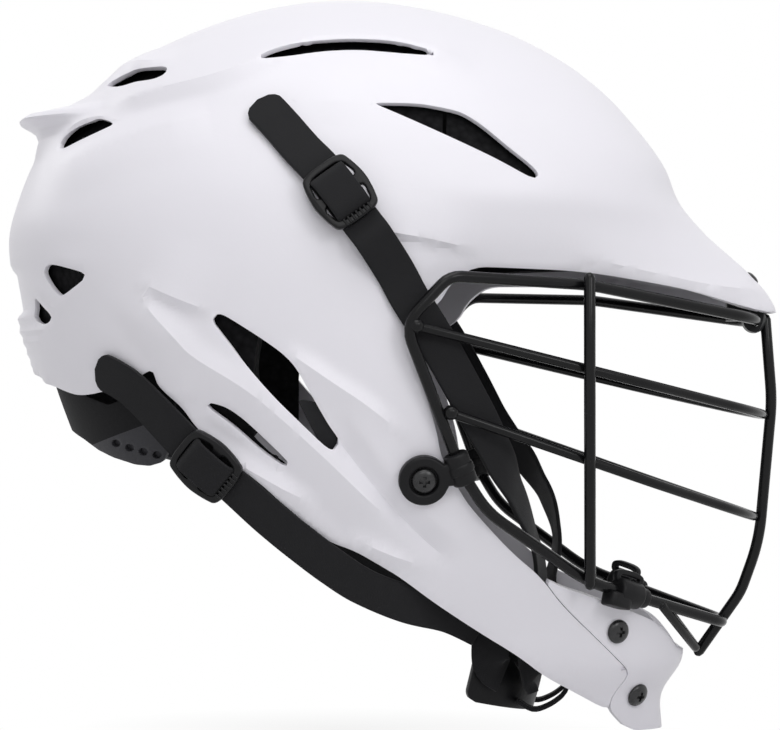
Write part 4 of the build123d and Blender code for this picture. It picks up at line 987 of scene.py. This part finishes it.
def bare_head(x, z, lift):
    """As on_head, without the moulded ridges, for what is screwed to the shell."""
    place, out = on_head(x, z, lift)
    raised = float(moulded_lift(np.array([[x, z]]))[0])
    return place - out * (raised * 0.001), out


clip_place, clip_out = bare_head(39.1, -73.1, 0.15)
to_rim = Vector(rim_joint) - clip_place
clip_run = (to_rim - clip_out * to_rim.dot(clip_out)).normalized()
clip_reach = to_rim.dot(clip_run)
rim_direction = (Vector(brow_route[1]) - Vector(rim_joint)).normalized()
disc_radius, hole_radius = 0.0098, 0.0056
disc = [(disc_radius * math.cos(turn), disc_radius * math.sin(turn))
        for turn in np.linspace(math.radians(38), math.radians(322), 50)]
arm = [(clip_reach - 0.006, -0.0044), (clip_reach - 0.001, -0.0052), (clip_reach + 0.002, -0.0052),
       (clip_reach + 0.002, 0.0052), (clip_reach - 0.001, 0.0052), (clip_reach - 0.006, 0.0044)]
hole = [(hole_radius * math.cos(turn), hole_radius * math.sin(turn))
        for turn in np.linspace(0, math.tau, 40, endpoint=False)]
body = plate('clip_body', clip_place, clip_run, clip_out, disc + arm, [hole],
             thickness=0.0050, edge_round=0.0011)
seat = round_bar(clip_place + clip_out * 0.0016, clip_out, radius=0.0062, length=0.0026, edge_round=0.0003)
sleeve = round_bar(Vector(rim_joint) + rim_direction * 0.001, rim_direction,
                   radius=0.0050, length=0.0128, edge_round=0.0012)
rib = round_bar(Vector(rim_joint) + rim_direction * 0.001, rim_direction,
                radius=0.0054, length=0.0040, edge_round=0.0008)
side_clip = joined([body, seat, sleeve, rib], 'side_clip_right_moulded')
paint(side_clip, clip_black)
twin = left_twin(side_clip, 'side_clip_left_moulded')
for each, side in ((side_clip, 'right'), (twin, 'left')):
    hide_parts('side_clip_' + side)
    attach(each, 'helmet')

clip_screw = screw_piece(clip_place + clip_out * 0.0036, clip_out, radius=0.0050, height=0.0024)
guard_screws = []
for x, z in ((115.1, -135.1), (123.1, -161.9)):
    place, out = bare_head(x, z, 0.2)
    guard_screws.append(screw_piece(place, out, radius=0.0049, height=0.0021))
peak_out = Vector((0.72, 0, 0.69)).normalized()
peak_screw = screw_piece(Vector((0.1712, 0, 0.0088)) - peak_out * 0.0004, peak_out,
                         radius=0.0033, height=0.0016)
for node, right in (
    ('side_clip_screws', [clip_screw]), ('chin_guard_screws', guard_screws), ('visor_clip_screw', []),
):
    both = right + [left_twin(each, 'screw_left') for each in right] or [peak_screw]
    screws = joined(both, node + '_turned')
    paint(screws, screw_black)
    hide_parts(node)
    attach(screws, 'helmet')

# The press studs under the ends of the tabs: blackened steel, set in the shell,
# each with a broad rim on a narrower post.
studs = []
for x, z in ((-22.0, 70.2), (-82.0, -35.4)):
    place, out = bare_head(x, z, 0)
    studs.append(round_bar(place, out, radius=0.0040, length=0.0030, edge_round=0.0004))
    studs.append(round_bar(place + out * 0.0014, out, radius=0.0052, length=0.0008, edge_round=0.0003))
studs += [left_twin(each, 'stud_left') for each in studs]
studs = joined(studs, 'snap_studs_turned')
paint(studs, screw_black)
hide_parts('snap_studs')
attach(studs, 'helmet')

# The chin clips: black nylon saddles that hold the chin rail on the guard, with
# a raised finger loop on top and a foot below.
rail_start, rail_end = Vector(rail_route[2]), Vector(rail_route[3])
rail_direction = (rail_end - rail_start).normalized()
hold = rail_start + rail_direction * ((0.1187 - rail_start.x) / rail_direction.x)
up = (Vector((0, 0, 1)) - rail_direction * rail_direction.z).normalized()
out_side = rail_direction.cross(up)
if out_side.y > 0:
    out_side = -out_side
barrel_clip = round_bar(hold, rail_direction, radius=0.0055, length=0.0126, edge_round=0.0014)
collar = round_bar(hold + rail_direction * 0.0074, rail_direction,
                   radius=0.0040, length=0.0060, edge_round=0.0010)
outer_loop = rounded([(-0.0076, -0.0031), (0.0074, -0.0031), (0.0074, 0.0031), (-0.0076, 0.0031)], rounds=3)
inner_loop = rounded([(-0.0052, -0.0007), (0.0050, -0.0007), (0.0050, 0.0009), (-0.0052, 0.0009)], rounds=2)
finger = plate('finger_loop', hold + up * 0.0060 + out_side * 0.0010, rail_direction, -out_side,
               outer_loop, [inner_loop], thickness=0.0032, edge_round=0.0008)
foot_block = rounded([(-0.0056, -0.0042), (0.0056, -0.0042), (0.0056, 0.0042), (-0.0056, 0.0042)],
                     rounds=2, share=0.15)
foot = plate('foot', hold - up * 0.0068 - rail_direction * 0.0052 + out_side * 0.0006, rail_direction, up,
             foot_block, [], thickness=0.0058, edge_round=0.0008)
chin_clip = joined([barrel_clip, collar, finger, foot], 'chin_clip_right_moulded')
paint(chin_clip, clip_black)
twin = left_twin(chin_clip, 'chin_clip_left_moulded')
for each, side in ((chin_clip, 'right'), (twin, 'left')):
    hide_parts('chin_clip_' + side)
    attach(each, 'helmet')

# The nape cradle: a soft moulded band behind the head, perforated for weight,
# that turns on two pins inside the shell.
cradle_edge = rounded([
    (-150, -31.6), (-118.3, -33.7), (-104.9, -42.1), (-87.5, -47.6), (-73.8, -33.1), (-71.6, -18),
    (-62, -18), (-60.4, -45.2), (-65.2, -68.6), (-76.3, -71.6), (-95.4, -66.8), (-109.7, -58.7),
    (-127.2, -52.7), (-150, -51.2)], rounds=1)


def oval(x, z, half_wide, half_tall, sides):
    """An oval hole in the side view."""
    return np.array([(x + half_wide * math.cos(turn), z + half_tall * math.sin(turn))
                     for turn in np.linspace(0, math.tau, sides, endpoint=False)])


vent_slots = ((-89.2, -62.0), (-82.7, -63.7), (-76.3, -65.2), (-70.0, -66.4))
slots = [oval(x, z, 2.3, 1.6, 16) for x, z in vent_slots] + [oval(-66.8, -21.7, 3.3, 3.3, 20)]
cradle = head_skin('rear_cradle_moulded', 430, 60, cradle_edge, slots, low=-80.0, high=-10.0,
                   lift=-6.5, relief=False)
walled(cradle, wall=0.0018, edge_round=0.0005)
backing = head_skin('cradle_backing', 300, 40, cradle_edge, [], low=-80.0, high=-10.0,
                    lift=-8.3, relief=False)
walled(backing, wall=0.0008, edge_round=0.0002)
cradle = joined([cradle, backing], 'rear_cradle_moulded')
cradle_black, shader, spot = new_finish('cradle_moulding')
axes = spot.node('ShaderNodeSeparateXYZ', None, Vector=spot)
# Above a slanting line the band is covered by a darker pad.
covered = (spot.out(axes, 2) * 1000 - spot.out(axes, 0) * 320 + 29.3).maths('GREATER_THAN', 0.0)
grain = noise(spot, 600.0, 3.0)
surface(shader, covered * (grain * -0.2 + 1) + grain * 0.1, (0.046, 0.046, 0.052), (0.008, 0.008, 0.009),
        covered * 0.25 + grain * 0.08 + 0.48, grain, strength=0.3, depth=0.0003)
shader.inputs['Specular IOR Level'].default_value = 0.13
paint(cradle, cradle_black)
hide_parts('rear_cradle')
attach(cradle, 'cradle')

# The chin cup: a shallow black moulding with a soft lining, hung from four
# short lengths of webbing, with a narrower loop of webbing under each side.
pad_fabric, shader, spot = new_finish('brushed_pad_cloth')
nap, cloud = noise(spot, 1400.0, 3.0), noise(spot, 40.0, 3.0)
surface(shader, nap * 0.6 + cloud * 0.4, (0.006, 0.006, 0.007), (0.018, 0.018, 0.020), cloud * 0.1 + 0.8,
        nap, strength=0.5, depth=0.0003)
shader.inputs['Sheen Weight'].default_value = 0.08
shader.inputs['Specular IOR Level'].default_value = 0.10
cup_black = moulded_black('cup_moulding', (0.004, 0.004, 0.005), (0.010, 0.010, 0.011),
                          rough=0.46, grain_size=480.0, depth=0.0004)
cup_back, cup_middle, cup_radius, cup_deep = 0.0565, -0.1532, 0.04167, 0.027
cup_center = cup_back + cup_deep - cup_radius


def cup_sheet(name, radius, reach, tall, corner, wall, edge_round, bulge):
    """A bowed sheet with rounded corners, thickened inwards."""
    bpy.ops.object.select_all(action='DESELECT')
    bpy.ops.mesh.primitive_grid_add(x_subdivisions=72, y_subdivisions=26, size=2)
    piece = bpy.context.object
    piece.name = name
    for vertex in piece.data.vertices:
        u, v = vertex.co.x, vertex.co.y
        near = corner / (tall / 2)
        over = max(0.0, (abs(v) - (1 - near)) / near)
        span = reach - corner / radius * (1 - math.sqrt(max(0.0, 1 - over * over)))
        turn = u * span
        swell = radius + bulge * (1 - v * v) - 0.0012 * max(0.0, v) ** 2
        vertex.co = (cup_center + swell * math.cos(turn), swell * math.sin(turn), cup_middle + v * tall / 2)
    faces_out()
    outwards = sum(face.normal.x * (face.center.x - cup_center) + face.normal.y * face.center.y
                   for face in piece.data.polygons)
    if outwards < 0:
        piece.data.flip_normals()
    tilt, pivot = math.radians(13), 0.028
    for vertex in piece.data.vertices:
        x, z = vertex.co.x - cup_center - pivot, vertex.co.z - cup_middle
        vertex.co.x = cup_center + pivot + x * math.cos(tilt) + z * math.sin(tilt)
        vertex.co.z = cup_middle + z * math.cos(tilt) - x * math.sin(tilt)
    piece.select_set(True)
    walled(piece, wall, edge_round)
    return piece


cup_reach, cup_wall = math.radians(69.4), 0.0036
cup = cup_sheet('chin_cup_moulded', cup_radius, cup_reach, tall=0.027, corner=0.0045, wall=cup_wall,
                edge_round=0.0011, bulge=0.0006)
cup.data.materials.append(cup_black)
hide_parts('chin_cup')
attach(cup, 'chin_cup')
lining = cup_sheet('chin_cup_lining', cup_radius - cup_wall, cup_reach - 0.09, tall=0.0206, corner=0.0058,
                   wall=0.0048, edge_round=0.0018, bulge=0.0004)
lining.data.materials.append(pad_fabric)
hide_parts('chin_cup_pad')
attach(lining, 'chin_cup')
tabs = []
for turn, line in (
    (38, [((0.0640, -0.0405, -0.1350), (0, -1, 0)), ((0.0640, -0.0405, -0.1480), (0, -1, 0))]),
    (53, [((0.0820, -0.0400, -0.1322), (0, -1, 0)), ((0.0822, -0.0385, -0.1450), (0.3, -1, 0)),
          ((0.0815, -0.0330, -0.1540), (0.8, -0.8, 0))]),
):
    outward = Vector((math.sin(math.radians(turn)), -math.cos(math.radians(turn)), 0))
    foot = Vector((cup_center, 0, cup_middle)) + outward * (cup_radius + 0.0018)
    tabs.append(ribbon('cup_tab', line + [(foot, outward)], webbing, width=0.0150))
loop_line = [((0.0949, -0.024, -0.1535), (1, 0, 0)), ((0.0948, -0.024, -0.1582), (1, 0, -0.25)),
             ((0.0925, -0.024, -0.1622), (0.8, 0, -0.7)), ((0.0868, -0.024, -0.1662), (0.5, 0, -1)),
             ((0.0805, -0.024, -0.1678), (0.1, 0, -1)), ((0.0740, -0.024, -0.1640), (-0.6, 0, -1))]
tabs.append(ribbon('cup_tab', loop_line, webbing, width=0.0110))
tabs += [left_twin(each, 'cup_tab_left') for each in tabs]
tabs = joined(tabs, 'chin_cup_tabs_woven')
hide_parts('chin_cup_tabs')
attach(tabs, 'chin_cup')

# The pads: foam wrapped in brushed cloth, crowned towards the head, with
# pressed channels. They sit on the liner and inside the jaw arms.
def pad_piece(name, place_at, face, thickness, finish, channels):
    """A closed cushion: flat where it lies on its carrier, crowned and channelled inside."""
    bpy.ops.object.select_all(action='DESELECT')
    bpy.ops.mesh.primitive_cube_add(size=2)
    piece = bpy.context.object
    piece.name = name
    bpy.ops.object.mode_set(mode='EDIT')
    bpy.ops.mesh.select_all(action='SELECT')
    bpy.ops.mesh.subdivide(number_cuts=26)
    bpy.ops.object.mode_set(mode='OBJECT')
    u, v, w = read_all(piece.data.vertices, 'co', 3).T
    crown = np.maximum((1 - np.abs(u) ** 5) * (1 - np.abs(v) ** 5), 0) ** 0.55
    full = 0.42 + 0.58 * crown
    for line, across_line in channels:
        at = u if across_line == 'u' else v
        full = full - 0.30 * np.exp(-((at - line) / 0.07) ** 2) * np.clip(crown * 1.5, 0, 1)
    draw = 1 - 0.035 * (1 - np.abs(w)) - 0.03 * (w > 0) * w
    corner = 1 - 0.05 * (np.abs(u) * np.abs(v)) ** 4
    depth = face + (w + 1) / 2 * thickness * full
    points = place_at(u * draw * corner, v * draw * corner, depth)
    piece.data.vertices.foreach_set('co', (np.stack(points, -1) * 0.001).ravel())
    faces_out()
    soft = piece.modifiers.new('soft', 'SUBSURF')
    soft.levels = soft.render_levels = 1
    bpy.ops.object.modifier_apply(modifier=soft.name)
    bpy.ops.object.shade_smooth_by_angle(angle=math.radians(70))
    piece.data.materials.append(finish)
    piece.select_set(False)
    return piece


def round_the_head(turn_middle, turn_half, low, high):
    """Places round the head between two heights."""
    def place_at(u, v, depth):
        heights = (low + high) / 2 + v * (high - low) / 2
        turns = turn_middle + u * turn_half
        points = head_points(turns, heights)
        near = head_points(turns + 0.01, heights) - head_points(turns - 0.01, heights)
        outward = np.stack([near[:, 1], -near[:, 0], np.zeros(len(near))], -1)
        outward /= np.linalg.norm(outward, axis=1)[:, None]
        return (points - outward * depth[:, None]).T
    return place_at


def on_side(corners, hand):
    """Places between four corners of the side view, on the right or left side."""
    (ax, az), (bx, bz), (cx, cz), (dx, dz) = corners

    def place_at(u, v, depth):
        s, t = (u + 1) / 2, (v + 1) / 2
        x = (ax * (1 - s) + bx * s) * t + (dx * (1 - s) + cx * s) * (1 - t)
        z = (az * (1 - s) + bz * s) * t + (dz * (1 - s) + cz * s) * (1 - t)
        return x, side_depth(x, z, depth) * hand, z
    return place_at


def crown_place(u, v, depth):
    x, y = -3 + 36 * u, 46 * v
    return x, y, np.sqrt(1 - (x * x + y * y) / 84 ** 2) * (124 - depth)


pad_vinyl = moulded_black('skinned_foam', (0.016, 0.016, 0.018), (0.034, 0.034, 0.037),
                          rough=0.62, grain_size=300.0, depth=0.0005)
thirds, halves = ((-0.34, 'u'), (0.34, 'u')), ((0.0, 'v'),)
pads = [
    ('brow_pad', round_the_head(0, math.radians(55), 20.6, 40.0), 16.8, 7.6, pad_fabric, thirds),
    ('back_pad', round_the_head(math.pi, math.radians(53), -5.5, 20.5), 16.8, 7.6, pad_fabric, thirds),
    ('crown_pad', crown_place, 16.8, 7.4, pad_fabric, thirds),
]
for name, corners, face, thickness, finish, channels in (
    ('side_pad', [(-40, 41.5), (18, 41.5), (18, 14.5), (-40, 14.5)], 16.8, 7.6, pad_fabric, thirds),
    ('jaw_pad', [(-10.5, -41), (14, -48), (65, -115), (26, -111)], 3.7, 10.2, pad_vinyl, halves),
    ('chin_pad', [(76, -118.5), (104.5, -125.5), (104, -135.5), (84, -132)], 6.2, 5.4, pad_vinyl, ()),
):
    for side, hand in (('right', 1), ('left', -1)):
        pads.append(('%s_%s' % (name, side), on_side(corners, hand), face, thickness, finish, channels))
for name, place_at, face, thickness, finish, channels in pads:
    pad = pad_piece(name + '_sewn', place_at, face, thickness, finish, channels)
    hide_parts(name)
    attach(pad, 'helmet')

# The liner: black expanded foam in three bands inside the shell. The middle
# band is shaped here, as it shows through the vents. The other two bands stay
# as they were cut, and so do the nuts, the pins and the clip under the peak.
liner_foam, shader, spot = new_finish('expanded_foam')
cells = spot.out(spot.node('ShaderNodeTexVoronoi', {'feature': 'F1'}, Vector=spot, Scale=330.0), 'Distance')
surface(shader, cells, (0.009, 0.009, 0.010), (0.003, 0.003, 0.0035), cells * 0.2 + 0.7,
        1 - cells, strength=0.4, depth=0.0006)
shader.inputs['Specular IOR Level'].default_value = 0.08
band_edge = rounded([
    (-47.4, -43.2), (-44, -45.5), (-30, -56.2), (-26.6, -58.4), (-26.2, -52), (-26.4, -30), (-23, -12),
    (0, -4), (20, 5), (28, 9), (47.4, 12.8), (47.4, 150), (-47.4, 150)], rounds=1, share=0.08)
band = head_skin('liner_middle_foam', 200, 96, band_edge, [], low=-62.0, high=124.0,
                 lift=-3.8, relief=False)
walled(band, wall=0.0124, edge_round=0)
band.data.materials.append(liner_foam)
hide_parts('liner_middle')
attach(band, 'helmet')
for node, finish in (
    ('liner_front', liner_foam), ('liner_rear', liner_foam), ('visor_clip', clip_black),
    ('side_clip_nuts', screw_black), ('chin_guard_nuts', screw_black), ('cradle_pins', screw_black),
):
    for kept_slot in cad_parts[node].material_slots:
        kept_slot.material = finish
